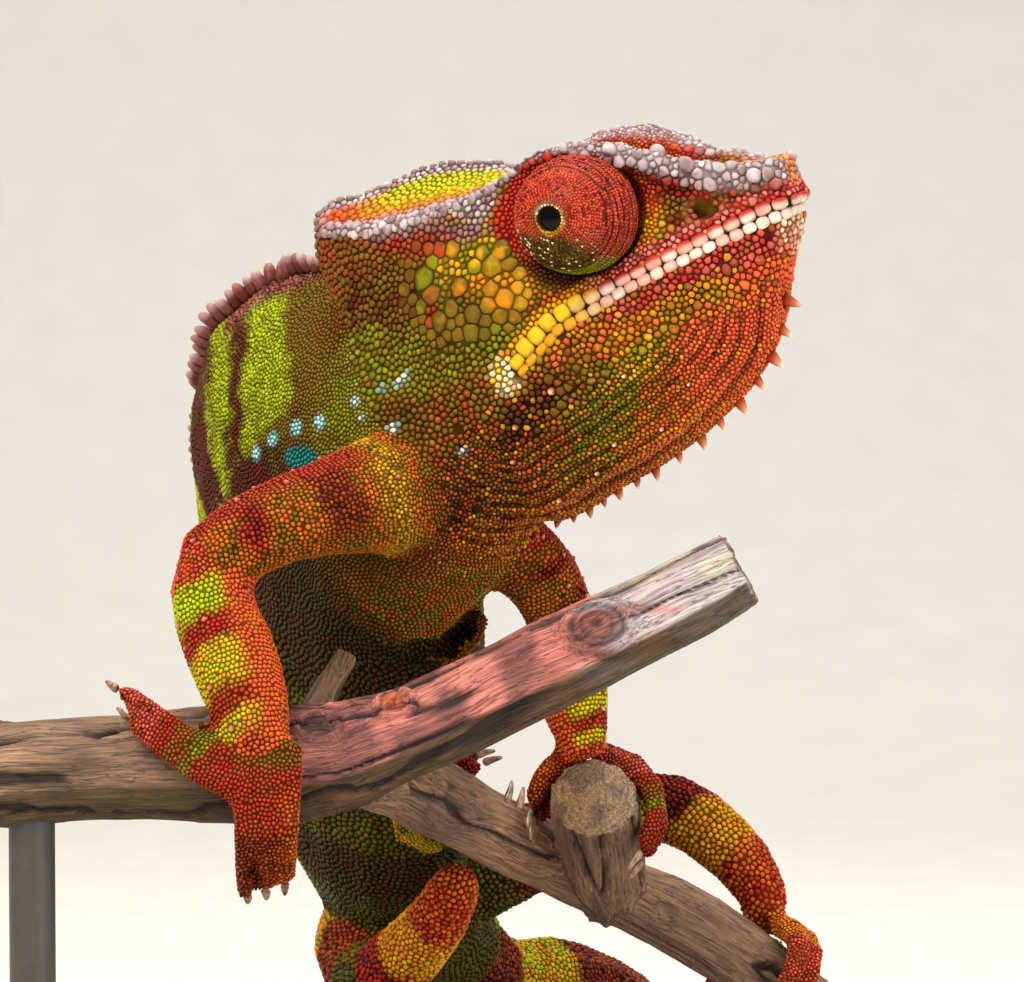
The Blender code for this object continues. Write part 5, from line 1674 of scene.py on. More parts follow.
    def temple_plates(self) -> list[tuple]:
        """Large flat plates over both temples, pushed apart until they lie edge to edge."""
        rows = []
        for side in Side:
            places, radii = [], []
            for _ in range(self.temple_tries):
                u, v, size = self.rng.random(3)
                x, z = -26.0 + 19.0 * u, -15.0 + 12.0 * v
                near = math.exp(-((x + 13.8) / 7.0) ** 2 - ((z + 7.0) / 5.2) ** 2)
                found = self.on_side(x, z, side)
                clear = math.hypot(x - FOOT_AHEAD, z) > 9.2
                if found is None or near < 0.28 or not clear or self.rng.random() > near * 1.4:
                    continue
                places.append(found)
                radii.append(0.45 + (0.5 + 0.5 * size) * min(1.0, near * 1.25) ** 1.5)
            places, radii = np.array(places), np.array(radii)
            for _ in range(24):
                offset = places[None] - places[:, None]
                gap = sizes_of(offset) + np.eye(len(places)) * 99.0
                overlap = np.clip((radii[:, None] + radii[None]) * 0.92 - gap, 0.0, None)
                push = -(offset / gap[..., None] * overlap[..., None]).sum(axis=1) * 0.3
                places, _ = self.skin.surface.nearest(places + push)
            head = self.anatomy.head.inside(places)
            near = (np.hypot(head[:, 0] - FOOT_AHEAD, head[:, 2]) > 8.9) & (head[:, 2] < -3.4)
            rows += [(*place, radius, 0.22) for place, radius, ok in zip(places, radii, near) if ok]
        return rows

    def cone_seeds(self) -> Seeds:
        """The gular crest, and tubercles scattered over throat and arms."""
        head, rows = self.anatomy.head, []
        for number, (x, z) in enumerate(self.gular):
            found, _ = self.skin.surface.nearest(head.outside((x, 0.0, z))[None])
            back = number / (len(self.gular) - 1)
            small = 0.8 if number % 2 else 1.0
            rows.append((*found[0], (0.9 - 0.32 * back) * small, 2.25 - 0.6 * back))
        for side in Side:
            for x, z, radius in self.warts:
                rows += self.row(self.on_side(x, z, side), radius * 0.8, 1.0)
            rows += self.arm_warts(side)
        return Seeds.of(rows, Kind.CONE)

    def crest_seeds(self) -> Seeds:
        """The row of blunt fingers along the ridge of the back, each against the next."""
        rows = []
        for run in np.arange(19.0, 106.0, 0.1):
            size = float(along(((19, 0.6), (25, 0.8), (40, 0.78), (106, 0.45)), run))
            found = self.anatomy.backbone.ridge_place(run, self.skin.surface)
            if found is None or (rows and np.linalg.norm(found - rows[-1][:3]) < 1.8 * size):
                continue
            rows.append((*found, size, 3.1 + 0.5 * self.rng.random()))
        rows = np.array(rows)
        for _ in range(4):
            rows[1:-1, :3] = (rows[:-2, :3] + 2 * rows[1:-1, :3] + rows[2:, :3]) / 4
        rows[:, :3], _ = self.skin.surface.nearest(rows[:, :3])
        return Seeds.of(rows, Kind.LOBE)

    def arm_warts(self, side: Side) -> list[tuple]:
        """Low tubercles along the outer edge of the arm."""
        rows = []
        outward = np.array([side.value * 0.8, -0.55, 0.35])
        for node, shares in (("upper_arm", (0.41, 0.5, 0.59, 0.66, 0.76, 0.95)),
                             ("forearm", (0.06, 0.32, 0.37, 0.42, 0.65, 0.85))):
            limb = self.anatomy.limbs[f"{node}_{side.word()}"]
            away = unit(outward - limb.way * (outward @ limb.way))
            for number, share in enumerate(shares):
                axis = limb.centre + limb.way * (limb.low + share * (limb.high - limb.low))
                spin = Matrix.Rotation(0.5 * math.sin(number * 2.4), 3, Vector(limb.way))
                out = np.array(spin @ Vector(away))
                rows += self.row(self.skin.surface.hit(axis + out * 12.0, -out), 0.5, 0.9)
        return rows

    # ---- how they pack

    @staticmethod
    def tree_of(places: Array) -> KDTree:
        """A search tree of places."""
        tree = KDTree(len(places))
        for i, place in enumerate(places.tolist()):
            tree.insert(place, i)
        tree.balance()
        return tree

    def neighbours(self, places: Array, count: int) -> Array:
        """Indices of the nearest other scales of each."""
        tree = self.tree_of(places)
        return np.array([[row[1] for row in tree.find_n(place, count + 1)][1:] for place in places.tolist()])

    def relax(self, seeds: Seeds) -> tuple[Array, Array]:
        """Pushes scales apart until they lie side by side, and gathers them into rows.

        Args:
            seeds: the seeds, of which only the small scales move.

        Returns:
            Places on the skin, and the triangle of each.
        """
        places, triangles = self.skin.surface.nearest(seeds.places)
        loose = seeds.kinds == Kind.SCALE.number
        owner = self.anatomy.owner(places)
        for turn in range(self.rounds):
            if turn % 3 == 0:
                near = self.neighbours(places, 9)
            offset = places[near] - places[:, None]
            gap = np.maximum(sizes_of(offset), 1e-6)
            want = seeds.radii[:, None] + seeds.radii[near]
            overlap = np.clip(want * self.overlap - gap, 0.0, None)
            push = -(offset / gap[..., None] * overlap[..., None]).sum(axis=1) * self.push
            push += self.row_pull(places, owner, seeds.radii) * (0.4 if turn < self.rounds - 2 else 0.2)
            size = np.maximum(sizes_of(push), 1e-9)
            push *= np.minimum(1.0, seeds.radii * 0.9 / size)[:, None]
            places[loose] += push[loose]
            places[loose], triangles[loose] = self.skin.surface.nearest(places[loose])
        return places, triangles

    def row_pull(self, places: Array, owner: Array, radii: Array) -> Array:
        """The step that brings each place to the middle of its row."""
        head_frame = self.anatomy.head
        head = head_frame.inside(places)
        pull = np.zeros_like(places)
        throat = on_head(owner) & (head_frame.from_mouth(head)[0] < -5.0)
        x, z, step = head[:, 0], head[:, 2], 0.1
        depth = head_frame.pleats(x, z)
        slope = np.stack([head_frame.pleats(x + step, z) - depth, np.zeros(len(x)),
                          head_frame.pleats(x, z + step) - depth], axis=1) / step
        off = self.off_row(depth, self.throat_row)
        pull[throat] = -(unit(slope) @ head_frame.axes * off[:, None])[throat]
        neck = owned(owner, "neck")
        corner = head_frame.outside((-8.0, 0.0, -17.0))
        reach = places - corner
        reach -= (reach @ head_frame.axes[1])[:, None] * head_frame.axes[1]
        off = self.off_row(sizes_of(reach), self.neck_row)
        pull[neck] = -(unit(reach) * off[:, None])[neck]
        for node, limb in self.anatomy.limbs.items():
            mine = owned(owner, node)
            value = (places[mine] - limb.centre) @ limb.way
            step = float(np.median(radii[mine])) * 1.74 if mine.any() else 1.0
            pull[mine] = -self.off_row(value, step)[:, None] * limb.way
        return pull

    @staticmethod
    def off_row(value: Array, pitch: float) -> Array:
        """How far each value is from the nearest multiple of a pitch."""
        return value - np.round(value / pitch) * pitch

    def outlines(self, chosen: Array, grown: Grown, sides: int) -> Array:
        """Reach of each chosen scale at even angles, ending midway to its neighbours.

        Args:
            chosen: which scales.
            grown: every scale.
            sides: how many angles.

        Returns:
            One row of reaches for each chosen scale.
        """
        places, radii = grown.seeds.places, grown.seeds.radii
        near, normal = grown.near[chosen], grown.normals[chosen]
        first = across(grown.lies[chosen], normal)
        second = np.cross(normal, first)
        offset = places[near] - places[chosen][:, None]
        gap = np.maximum(sizes_of(offset), 1e-6)
        u, v = ((offset * way[:, None]).sum(2) for way in (first, second))
        flat = np.maximum(np.hypot(u, v), 1e-9)
        facing = (grown.normals[near] * normal[:, None]).sum(2) > 0.0
        size = radii[chosen][:, None]
        share = size / (size + radii[near])
        far, least = 9.0, 0.12  # reach where nothing is near, and least cosine of the way to a neighbour
        edge = np.where(facing, share * gap, far)
        angles = even_angles(sides)
        cosine = (u / flat)[..., None] * np.cos(angles) + (v / flat)[..., None] * np.sin(angles)
        reach = np.where(cosine > least, edge[..., None] / np.maximum(cosine, least), far).min(axis=1)
        reach = np.minimum(reach - self.seam, size * 1.25)
        return np.clip(reach, size * 0.4, None)


# ---- eyes


@dataclass
class Turret:
    """A conical eye turret: folds round its foot, rings of granules and a gold-rimmed lid opening."""

    anatomy: Anatomy
    side: Side
    along_radius: float = 6.82
    across_radius: float = 6.65
    up_radius: float = 6.38
    opening: float = 1.44
    granule: float = 0.15
    fold_start: float = 0.98
    fold_pitch: float = 0.118
    fold_depth: float = 0.24
    foot: float = 1.95
    rings: int = 110
    segments: int = 96

    def frame_of(self) -> tuple[Array, Array]:
        """Centre of the turret, and its axes: forward, up and out."""
        head = self.anatomy.head
        centre = head.outside((FOOT_AHEAD, self.side.value * FOOT_ASIDE, 0.0))
        if self.side is Side.RIGHT:
            out = unit(-head.axes[1] + 0.05 * head.axes[2] - 0.13 * head.axes[0])
        else:
            out = unit(head.axes[1] + 0.35 * head.axes[0] + 0.1 * head.axes[2])
        ahead = across(head.axes[0], out)
        up = unit(head.axes[2] - out * (head.axes[2] @ out) - ahead * (head.axes[2] @ ahead))
        return centre, np.array([ahead, up, out])

    def place(self, polar: Array, around: Array, lift: Array | float = 0.0) -> tuple[Array, Array]:
        """Places on the turret and normals there.

        Args:
            polar: angle from the pupil's axis.
            around: angle round it, from forward through up.
            lift: mm above the turret.

        Returns:
            Places and normals.
        """
        sine = np.sin(polar)
        ball = np.stack([sine * np.cos(around), sine * np.sin(around), np.cos(polar)], axis=-1)
        radii = np.array([self.along_radius, self.up_radius, self.across_radius])
        normal = unit(ball / radii)
        folds = -self.fold_depth * self.valley(polar, around)
        dip = 0.1 * bell(polar - 0.3, 0.05) - 0.3 * (1 - ease(0.2, 0.3, polar))
        local = ball * radii + normal * (np.asarray(lift) + folds + dip)[..., None]
        return self.centre + local @ self.axes, normal @ self.axes

    def valley(self, polar: Array, around: Array) -> Array:
        """1 at the bottom of the folds that ring the turret's foot, 0 on their backs."""
        wander = 0.02 * np.sin(3 * around + 1.3) + 0.012 * np.sin(7 * around)
        phase = (polar - self.fold_start + wander) / self.fold_pitch
        return wave(phase) ** 3 * ease(self.fold_start - 0.1, self.fold_start, polar)

    def build(self) -> list[bpy.types.Object]:
        """The turret's skin and its granules."""
        self.centre, self.axes = self.frame_of()
        word = self.side.word()
        skin = self.skin_piece(f"turret_skin_{word}")
        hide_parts(f"eye_turret_{word}")
        return [skin, self.granule_piece(f"turret_granules_{word}")]

    def colours(self, polar: Array, around: Array, chance: Array) -> Array:
        """Coral above, dark olive with cream flecks below, a thin gold rim round the lids, and painted shade
        in the folds round the foot.
        """
        height, below = np.sin(around) * np.sin(polar), -np.sin(around)
        patchy = cloud(self.place(polar, around)[0], 1.8, 33)
        made = layered(Pigment.CORAL.light(), (Pigment.CRIMSON, ease(0.2, 0.8, 0.5 * chance + 0.5 * patchy)),
                       (Pigment.ORANGE, ease(0.6, 0.9, patchy) * 0.5),
                       (Pigment.MAROON, ease(0.84, 0.92, chance)))
        low = layered(Pigment.UMBER.light(), (Pigment.OLIVE, ease(0.2, 0.8, chance)),
                      (Pigment.CREAM, ease(0.86, 0.93, chance)))
        under = ease(-0.14, -0.36, height + (patchy - 0.5) * 0.25)
        under = under * (1 - 0.75 * ease(0.5, 0.95, np.cos(around)))
        made = layered(made, (low, under * (1 - 0.6 * ease(1.02, 1.2, polar) * ease(-0.9, -0.6, height))),
                       (Pigment.LEAF, ease(1.08, 1.22, polar) * ease(-0.62, -0.82, height)))
        # painted shade: the valleys of the folds round the turret's foot are darkened
        made = made * (1 - 0.65 * self.valley(polar, around))[:, None]
        warm = layered(Pigment.CREAM.light(), (Pigment.YELLOW, ease(-0.2, 0.9, below + chance)),
                       (Pigment.OLIVE, ease(0.5, 0.7, chance) * 0.7))
        gold = ease(0.215, 0.235, polar) * ease(0.3, 0.25, polar + 0.08 * (patchy - 0.5))
        return layered(made, (Pigment.MAROON, ease(1.7, 1.85, polar)),
                       (Pigment.RUST, ease(0.45, 0.3, polar) * 0.6),
                       (warm, gold * ease(0.1, 0.4, chance + 0.15)),
                       (Pigment.DARK, 1 - ease(0.205, 0.225, polar)))

    def skin_piece(self, name: str) -> bpy.types.Object:
        """The smooth turret under the granules, with the lid turned in at its opening."""
        start = math.asin(self.opening / self.along_radius)
        polars = np.concatenate([[start] * 2, np.linspace(start + 0.012, self.foot, self.rings)])
        arounds = np.linspace(0, 2 * math.pi, self.segments, endpoint=False)
        grid, turn = np.meshgrid(polars, arounds, indexing="ij")
        lift = np.zeros_like(grid)
        lift[0], lift[1] = -1.3, -0.5
        places, _ = self.place(grid, turn, lift)
        bm = bmesh.new()
        rows = [[bm.verts.new(point) for point in ring] for ring in places]
        for low, high in zip(rows, rows[1:]):
            for i in range(len(low)):
                j = (i + 1) % len(low)
                bm.faces.new((low[i], low[j], high[j], high[i]))
        bm.faces.new(rows[-1])
        bm.faces.new(rows[0][::-1])
        bmesh.ops.recalc_face_normals(bm, faces=bm.faces)
        bmesh.ops.scale(bm, vec=(MM, MM, MM), verts=bm.verts)
        mesh = mesh_of(bm, name)
        # painted shade: the turret's skin between the granules is darkened to a third of their colours
        tint = self.colours(grid.ravel(), turn.ravel(), cloud(places.reshape(-1, 3), 0.5, 31)) * 0.35
        add_markings(mesh, blend(tint, Pigment.DARK, grid.ravel() < start + 0.015))
        return placed(name, mesh, TURRET_FINISH)

    def granule_piece(self, name: str) -> bpy.types.Object:
        """Rings of granules round the pupil, longer along their ring than across it."""
        rng = np.random.default_rng(40 + self.side.value)
        polar, around, sizes = [], [], []
        at = math.asin(self.opening / self.along_radius) + 0.03
        while at < 1.8:
            radius = (0.15 if at < 0.3 else self.granule) + 0.03 * rng.random()
            girth = 2 * math.pi * math.sin(at) * self.along_radius
            count = max(6, int(girth / (2.35 * radius)))
            turn = (np.arange(count) + rng.random() + (rng.random(count) - 0.5) * 0.3) / count * 2 * math.pi
            polar.append(at + (rng.random(count) - 0.5) * 0.01)
            around.append(turn)
            sizes.append(np.full(count, radius) * (0.88 + 0.24 * rng.random(count)))
            at += radius * 1.85 / self.along_radius
        polar, around, sizes = np.concatenate(polar), np.concatenate(around), np.concatenate(sizes)
        places, normals = self.place(polar, around)
        chance = rng.random(len(polar))
        lies = unit(np.cross(normals, self.axes[2]))
        sides = Kind.SCALE.sides
        angles = even_angles(sides)
        outline = sizes[:, None] * (0.94 + 0.18 * np.abs(np.cos(angles)))
        outline = outline * (0.94 + 0.1 * rng.random((len(polar), sides)))
        heights = sizes * (0.3 + 0.4 * rng.random(len(polar)))
        flat = np.stack([0.5 + polar / 3.7 * np.cos(around), 0.5 + polar / 3.7 * np.sin(around)], axis=1)
        shape = ScaleMesh(Kind.SCALE, places, normals, lies, outline, heights,
                          self.colours(polar, around, chance), spread_roots(flat), lean=0.0)
        return shape.piece(name, "turret_skin")


@dataclass
class Eyeball:
    """A glossy eyeball whose dark pupil fills most of the lid opening."""

    turret: Turret
    radius: float = 4.4
    pupil: float = 0.27
    iris: float = 0.36
    around: int = 64
    rings: int = 48

    def build(self) -> bpy.types.Object:
        """The ball, marked by the angle from the gaze."""
        word = self.turret.side.word()
        gaze = self.turret.axes[2]
        centre = self.turret.centre + gaze * (self.turret.across_radius - self.radius - 0.5)
        bm = bmesh.new()
        turn = Matrix(self.turret.axes.T.tolist()).to_4x4()
        place = Matrix.Translation(Vector(centre * MM)) @ turn
        bmesh.ops.create_uvsphere(bm, u_segments=self.around, v_segments=self.rings,
                                  radius=self.radius * MM, matrix=place)
        name = f"eye_{word}"
        mesh = mesh_of(bm, name)
        points = np.array([v.co for v in mesh.vertices]) / MM - centre
        angle = np.arccos(np.clip(points @ gaze / self.radius, -1, 1))
        tint = np.broadcast_to(linear(6, 5, 5), points.shape)
        tint = blend(tint, linear(52, 26, 12), ease(self.pupil - 0.02, self.pupil + 0.02, angle))
        tint = blend(tint, linear(20, 10, 6), ease(self.iris - 0.02, self.iris + 0.04, angle))
        add_markings(mesh, tint)
        ball = placed(name, mesh, EYE_FINISH)
        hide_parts(f"eyeball_{word}")
        return ball


# ---- claws, perch and stand


@dataclass
class Claws:
    """Smooth horn claws on each hand and foot, from the solids' own claws."""

    levels: int = 2
    length: float = 0.82

    def build(self) -> list[bpy.types.Object]:
        """One piece for the claws of each hand and foot."""
        pieces = []
        for limb in ("hand", "foot"):
            for side in Side:
                nodes = sorted(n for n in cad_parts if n.startswith(f"claw_{limb}") and side.word() in n)
                bm = bmesh.new()
                for node in nodes:
                    start = len(bm.verts)
                    bm.from_mesh(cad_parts[node].data)
                    bm.verts.ensure_lookup_table()
                    bundle = middle("_".join(node.split("_")[1:4])) * MM
                    verts = bm.verts[start:]
                    root = min(verts, key=lambda vert: (vert.co - Vector(bundle)).length).co.copy()
                    bmesh.ops.scale(bm, vec=(self.length,) * 3, verts=verts, space=Matrix.Translation(-root))
                bmesh.ops.remove_doubles(bm, verts=bm.verts, dist=1e-6)
                bmesh.ops.recalc_face_normals(bm, faces=bm.faces)
                name = f"claws_{limb}_{side.word()}"
                mesh = mesh_of(bm, name)
                piece = placed(name, mesh, HORN_FINISH)
                smooth = piece.modifiers.new("round", "SUBSURF")
                smooth.levels = smooth.render_levels = self.levels
                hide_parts(*nodes)
                pieces.append(piece)
        return pieces


# cracks of the main limb: turn from the front downwards, start and end along it, half width
LONG_CRACKS = ((0.42, -12.0, 62.0, 0.8), (-0.2, -9.0, 14.0, 0.6), (0.75, 8.0, 50.0, 0.6),
               (-0.7, -60.0, -20.0, 0.6), (0.2, -62.0, -30.0, 0.65), (1.3, -50.0, 20.0, 0.8),
               (2.4, -40.0, 40.0, 0.8), (-2.0, -55.0, 10.0, 0.8))


@dataclass
class Perch:
    """The cut branch with its fork, stub and twig: grained bark, cracks, knots and cut faces."""

    nodes: tuple = ("perch_branch", "perch_fork", "perch_stub", "perch_twig")
    voxel: float = 0.38
    grow: float = 0.3
    # knots of the branch: place, reach, and the pigment inside
    knots: tuple = ((19.1, -56.1, 113.9, 2.7, Pigment.PLUM), (-2.5, -55.3, 105.5, 1.5, Pigment.ORANGE),
                    (-10.7, -56.6, 102.9, 1.6, Pigment.UMBER), (-48.0, -50.0, 104.0, 2.4, Pigment.OCHRE))

    def build(self) -> bpy.types.Object:
        """Melts the solids of the branch into one, raises its bark and colours it."""
        points, faces = melted(list(self.nodes), self.grow, self.voxel, 5, "perch_blank")
        normals = point_normals(points, faces)
        points = points - normals * self.grow
        owners = self.owner(points)
        height, tint, grain = self.bark(points, normals, owners)
        points = points + normals * height[:, None]
        mesh = mesh_from("perch", points, faces)
        add_markings(mesh, tint)
        mesh.attributes.new("grain", "FLOAT_VECTOR", "POINT")
        mesh.attributes["grain"].data.foreach_set("vector", grain.astype(np.float32).ravel())
        perch = placed("perch", mesh, BARK_FINISH)
        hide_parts(*self.nodes)
        return perch

    def owner(self, points: Array) -> Array:
        """Index of the solid of the perch nearest each point."""
        solids = [Surface(*triangles_of(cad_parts[node])) for node in self.nodes]
        gaps = [sizes_of(points - solid.nearest(points)[0]) for solid in solids]
        return np.array(gaps).argmin(axis=0)

    def bark(self, points: Array, normals: Array, owners: Array) -> tuple[Array, Array, Array]:
        """Relief, colour and grain of the bark.

        Args:
            points: places in mm.
            normals: normals there.
            owners: index of the solid that each belongs to.

        Returns:
            Heights in mm, rows of linear light, and coordinates that hardly change along the grain.
        """
        height = np.zeros(len(points))
        tint, grains = np.zeros((2, len(points), 3))
        bend = np.stack([cloud(points, 9.0, seed) for seed in (55, 56, 57)], axis=1) - 0.5
        for number, node in enumerate(self.nodes):
            mine = owners == number
            if not mine.any():
                continue
            here, own = points[mine], normals[mine]
            local, ends = self.along_grain(here + 1.2 * bend[mine], own, node)
            knot, inside = self.knot(here)
            local[:, 1:] *= (1 + 0.35 * knot)[:, None]
            grains[mine] = local * (0.06, 1.0, 1.0)
            ridged = 1 - np.abs(2 * cloud(local * (0.05, 1.0, 1.0), 1.3, 51 + number) - 1)
            fine = cloud(local * (0.1, 1.0, 1.0), 0.6, 61 + number)
            line = np.abs(cloud(local * (0.045, 1.0, 1.0), 3.2, 81 + number) - 0.5)
            where = cloud(local * (0.12, 0.5, 0.5), 2.4, 85 + number)
            cracks = ease(0.05, 0.018, line) * ease(0.42, 0.55, where)
            smooth = 0.0
            if number == 0:
                cracks, smooth = np.maximum(cracks, self.long_cracks(local)), ease(10.0, 22.0, here[:, 0])
            lumps = cloud(here, 6.0, 71) - 0.5
            relief = 0.36 * (ridged - 0.6) + 0.18 * (fine - 0.5) + 0.7 * lumps - 0.7 * cracks
            splinter = 0.9 * (cloud(local * (0.2, 1.0, 1.0), 0.9, 99) - 0.5) * ends
            height[mine] = relief * (1 - ends) * (1 - 0.4 * smooth) + 0.8 * knot - 1.1 * inside + splinter
            base = self.base_colour(here, own, number)
            tone = np.clip(0.15 + 0.55 * ridged + 0.3 * fine, 0, 1)
            shade = blend(base * 0.55, np.clip(base * 1.2, 0, 1), tone)
            shade = self.knot_colours(blend(shade, Pigment.DARK, cracks * 0.9), here)
            rings = wave((np.hypot(local[:, 1], local[:, 2]) + 0.5 * fine) / 0.75)
            cut = layered(Pigment.OCHRE.light(), (Pigment.TAN, 0.15 + 0.5 * rings),
                          (Pigment.UMBER, ease(0.55, 0.75, cloud(here, 2.2, 97)) * 0.6),
                          (Pigment.PEELED, 0.2 * ease(14.0, 24.0, here[:, 0])))
            tint[mine] = blend(shade, cut, ends)
        return height, tint, grains

    @staticmethod
    def from_knot(points: Array, knot: tuple) -> Array:
        """Distance from a knot's middle, where 1 is its reach."""
        return sizes_of((points - knot[:3]) * (0.75, 1.0, 1.0)) / knot[3]

    def knot_colours(self, shade: Array, points: Array) -> Array:
        """The bark's colours with the knots on them."""
        for knot in self.knots:
            away = self.from_knot(points, knot)
            shade = blend(shade, knot[4], ease(0.75, 0.5, away) * 0.85)
            rings = bell(away - 0.78, 0.09) * 0.8 + bell(away - 0.47, 0.08) * 0.55
            shade = blend(shade, Pigment.DARK, np.clip(rings + 0.7 * ease(0.27, 0.12, away), 0, 1))
        return shade

    @staticmethod
    def along_grain(points: Array, normals: Array, node: str) -> tuple[Array, Array]:
        """Places as (along, across, across) of a branch's own curved middle, and 1 on its cut faces."""
        axis = Limb(node, middle("trunk")).way
        first = unit(np.cross(axis, (0.0, 0.0, 1.0)))
        second = np.cross(axis, first)
        local = points @ np.array([axis, first, second]).T
        stations = np.linspace(local[:, 0].min() + 1.0, local[:, 0].max() - 1.0, 14)
        for column in (1, 2):
            centre = []
            for at in stations:
                slab = local[np.abs(local[:, 0] - at) < 4.0, column]
                centre.append((slab.min() + slab.max()) / 2 if len(slab) else 0.0)
            local[:, column] -= np.interp(local[:, 0], stations, centre)
        return local, ease(0.78, 0.93, np.abs(normals @ axis))

    @staticmethod
    def long_cracks(local: Array) -> Array:
        """1 in the cracks that wander along the limb, each at its own turn round the middle."""
        turn = np.arctan2(local[:, 2], local[:, 1])
        reach = np.hypot(local[:, 1], local[:, 2])
        made = np.zeros(len(local))
        wander = 0.5 * (cloud(local * (1.0, 0.0, 0.0), 7.0, 101) - 0.5)
        wander = wander + 0.25 * (cloud(local, 1.6, 102) - 0.5)
        for at, low, high, width in LONG_CRACKS:
            gap = np.abs((turn - at - wander + math.pi) % (2 * math.pi) - math.pi) * reach
            span = ease(low, low + 5.0, local[:, 0]) * ease(high, high - 5.0, local[:, 0])
            made = np.maximum(made, ease(width, 0.4 * width, gap) * span)
        return made

    def knot(self, points: Array) -> tuple[Array, Array]:
        """How far the bark swells round the knots, and how far it sinks inside them."""
        swell, inside = np.zeros(len(points)), np.zeros(len(points))
        for away in (self.from_knot(points, knot) for knot in self.knots):
            swell = np.maximum(swell, ease(1.5, 0.8, away))
            inside = np.maximum(inside, 0.6 * bell(away - 0.7, 0.14) + 0.5 * bell(away, 0.25))
        return swell, inside

    @staticmethod
    def base_colour(points: Array, normals: Array, number: int) -> Array:
        """Grey-brown at the left, rosy in the middle and pale peeled wood at the right end, with painted
        shade on the underside.
        """
        x = points[:, 0] + (cloud(points, 7.0, 91) - 0.5) * 8
        if number:
            return blend(Pigment.BARK, Pigment.TAN, cloud(points, 9.0, 92) * 0.8)
        rosy = blend(Pigment.PLUM, Pigment.BLUSH, ease(0.3, 0.7, cloud(points, 3.5, 95)))
        frost = blend(Pigment.PEELED, Pigment.FROST, ease(0.35, 0.65, cloud(points, 4.0, 93)))
        strips = 16 * (cloud(points * (0.25, 1.0, 1.0), 1.7, 96) - 0.5)
        return layered(Pigment.BARK.light(), (Pigment.ASH, cloud(points, 4.0, 94) * 0.8),
                       (rosy, ease(-20, -12, x)), (frost, ease(18, 24, x + strips)),
                       # painted shade: dark ochre over the bark that faces downwards
                       (Pigment.OCHRE.light() * 0.55, ease(0.05, -0.45, normals[:, 2]) * 0.9))


@dataclass
class Stand:
    """A painted plinth and two rods that hold the branch."""

    edge: float = 1.4
    rod_sides: int = 48
    collar: float = 1.9
    collar_height: float = 3.0
    edge_segments: int = 5

    def build(self) -> list[bpy.types.Object]:
        """The plinth and the rods."""
        return [self.plinth(), *(self.rod(side) for side in ("left", "right"))]

    def plinth(self) -> bpy.types.Object:
        """The base with rounded edges."""
        bm = bmesh.new()
        bm.from_mesh(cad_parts["stand_base"].data)
        bmesh.ops.remove_doubles(bm, verts=bm.verts, dist=1e-6)
        bmesh.ops.dissolve_limit(bm, angle_limit=math.radians(2), verts=bm.verts, edges=bm.edges)
        top = max(v.co.z for v in bm.verts)
        rim = [e for e in bm.edges if all(abs(v.co.z - top) < 1e-6 for v in e.verts)]
        bmesh.ops.bevel(bm, geom=rim, offset=self.edge * MM, segments=self.edge_segments, profile=0.5,
                        affect="EDGES", material=-1)
        plinth = placed("plinth", mesh_of(bm, "plinth", smooth=False), STAND_FINISH)
        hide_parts("stand_base")
        return plinth

    def rod(self, word: str) -> bpy.types.Object:
        """A round rod with a collar at its foot."""
        low, high = (np.array(corner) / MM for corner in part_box(f"stand_rod_{word}"))
        centre, radius = (low + high) / 2, (high[0] - low[0]) / 2
        foot, rim, neck = low[2], radius + self.collar, low[2] + self.collar_height
        profile = [(0.0, foot), (rim, foot), (rim, neck), (radius + 0.4, neck + 1.2), (radius, neck + 2.0),
                   (radius, high[2]), (0.0, high[2])]
        bm = bmesh.new()
        verts = [bm.verts.new(((centre[0] + r) * MM, centre[1] * MM, z * MM)) for r, z in profile]
        edges = [bm.edges.new(pair) for pair in zip(verts, verts[1:])]
        bmesh.ops.spin(bm, geom=verts + edges, cent=(centre[0] * MM, centre[1] * MM, 0), axis=(0, 0, 1),
                       angle=2 * math.pi, steps=self.rod_sides, use_merge=True)
        bmesh.ops.remove_doubles(bm, verts=bm.verts, dist=1e-6)
        bmesh.ops.recalc_face_normals(bm, faces=bm.faces)
        rod = placed(f"rod_{word}", mesh_of(bm, f"rod_{word}", smooth=False), STAND_FINISH)
        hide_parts(f"stand_rod_{word}")
        return rod


# ---- studio


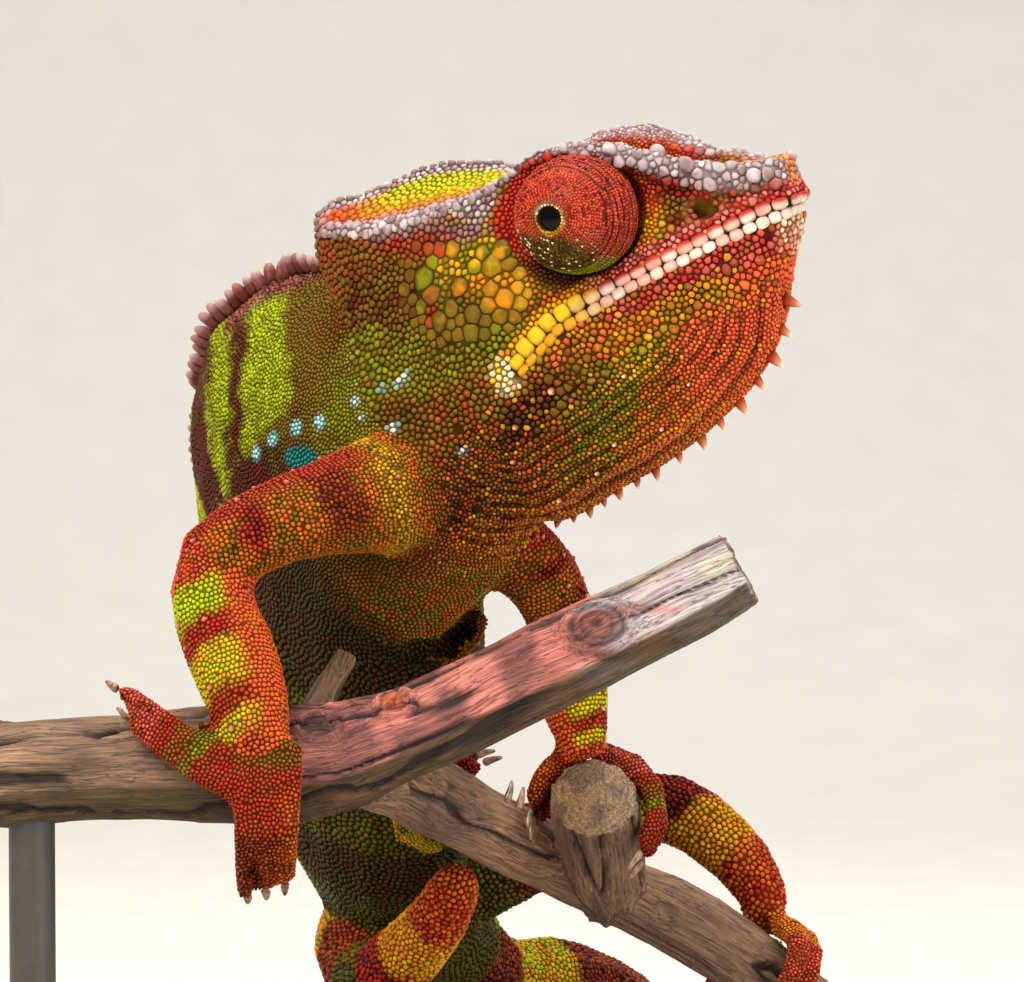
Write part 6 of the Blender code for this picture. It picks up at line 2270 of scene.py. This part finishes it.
@dataclass
class Studio:
    """A pale floor that turns up behind, soft lamps and the camera."""

    look_at: tuple = (0.010, -0.052, 0.128)
    distance: float = 0.420
    lift: float = math.radians(3.0)
    lens: float = 137.3

    def build(self) -> None:
        """Floor, lamps, world and camera."""
        self.floor()
        self.lamp("key", (-0.35, -0.55, 0.75), 0.45, 12.0, (1.0, 0.95, 0.88))
        self.lamp("fill", (0.65, -0.5, 0.35), 0.7, 5.4, (0.9, 0.95, 1.0))
        self.lamp("top", (0.05, 0.2, 0.85), 0.5, 6.0, (1.0, 0.98, 0.95))
        world = bpy.data.worlds.new("studio")
        world.use_nodes = True
        for socket, value in (("Color", (0.93, 0.95, 1.0, 1.0)), ("Strength", 0.35)):
            world.node_tree.nodes["Background"].inputs[socket].default_value = value
        bpy.context.scene.world = world
        bpy.context.scene.view_settings.view_transform = "Standard"
        self.camera()

    def floor(self) -> None:
        """A sheet that lies flat and curves up behind."""
        bm = bmesh.new()
        run = [(-2.0, 0.0), (0.6, 0.0)]
        run += [(0.6 + 0.5 * math.sin(a), 0.5 - 0.5 * math.cos(a)) for a in np.linspace(0.1, math.pi / 2, 14)]
        run.append((1.1, 3.0))
        rows = [[bm.verts.new((x, y, z)) for x in (-3.0, 3.0)] for y, z in run]
        for low, high in zip(rows, rows[1:]):
            bm.faces.new((low[0], low[1], high[1], high[0]))
        floor = linked("floor", mesh_of(bm, "floor"))
        floor.data.materials.append(PaintFinish("floor_paper", (222, 218, 210), 0.85, 60.0, 0.02).material())

    def lamp(self, name: str, place: tuple, size: float, power: float, colour: tuple) -> None:
        """A soft square lamp aimed at the animal."""
        light = bpy.data.lights.new(name, "AREA")
        light.energy, light.size, light.color = power, size, colour
        obj = linked(name, light)
        obj.location = place
        obj.rotation_euler = (Vector(self.look_at) - Vector(place)).to_track_quat("-Z", "Y").to_euler()

    def camera(self) -> None:
        """The camera, a little above the head's height and level."""
        lens = bpy.data.cameras.new("camera")
        lens.lens, lens.sensor_width = self.lens, 36.0
        lens.clip_start, lens.clip_end = 0.01, 20.0
        camera = linked("camera", lens)
        away = Vector((0.0, -math.cos(self.lift), math.sin(self.lift))) * self.distance
        camera.location = Vector(self.look_at) + away
        camera.rotation_euler = (-away).to_track_quat("-Z", "Y").to_euler()
        bpy.context.scene.camera = camera


def main() -> None:
    """Builds every piece in order and reports it."""
    logging.basicConfig(level=logging.INFO, format="%(message)s")
    anatomy = Anatomy()
    markings = Markings(anatomy)
    studio = Studio()
    studio.build()
    skin = Skin(anatomy, markings)
    pieces = [skin.build()]
    log.info("skin ready")
    pieces += Coat(anatomy, markings, skin).build()
    for side in Side:
        turret = Turret(anatomy, side)
        pieces += turret.build()
        pieces.append(Eyeball(turret).build())
    pieces += Claws().build()
    pieces.append(Perch().build())
    pieces += Stand().build()
    total = 0
    for piece in pieces:
        count = sum(len(face.vertices) - 2 for face in piece.data.polygons)
        total += count
        log.info("%s: %d triangles", piece.name, count)
    log.info("%d triangles in all", total)


if __name__ == "__main__":
    main()
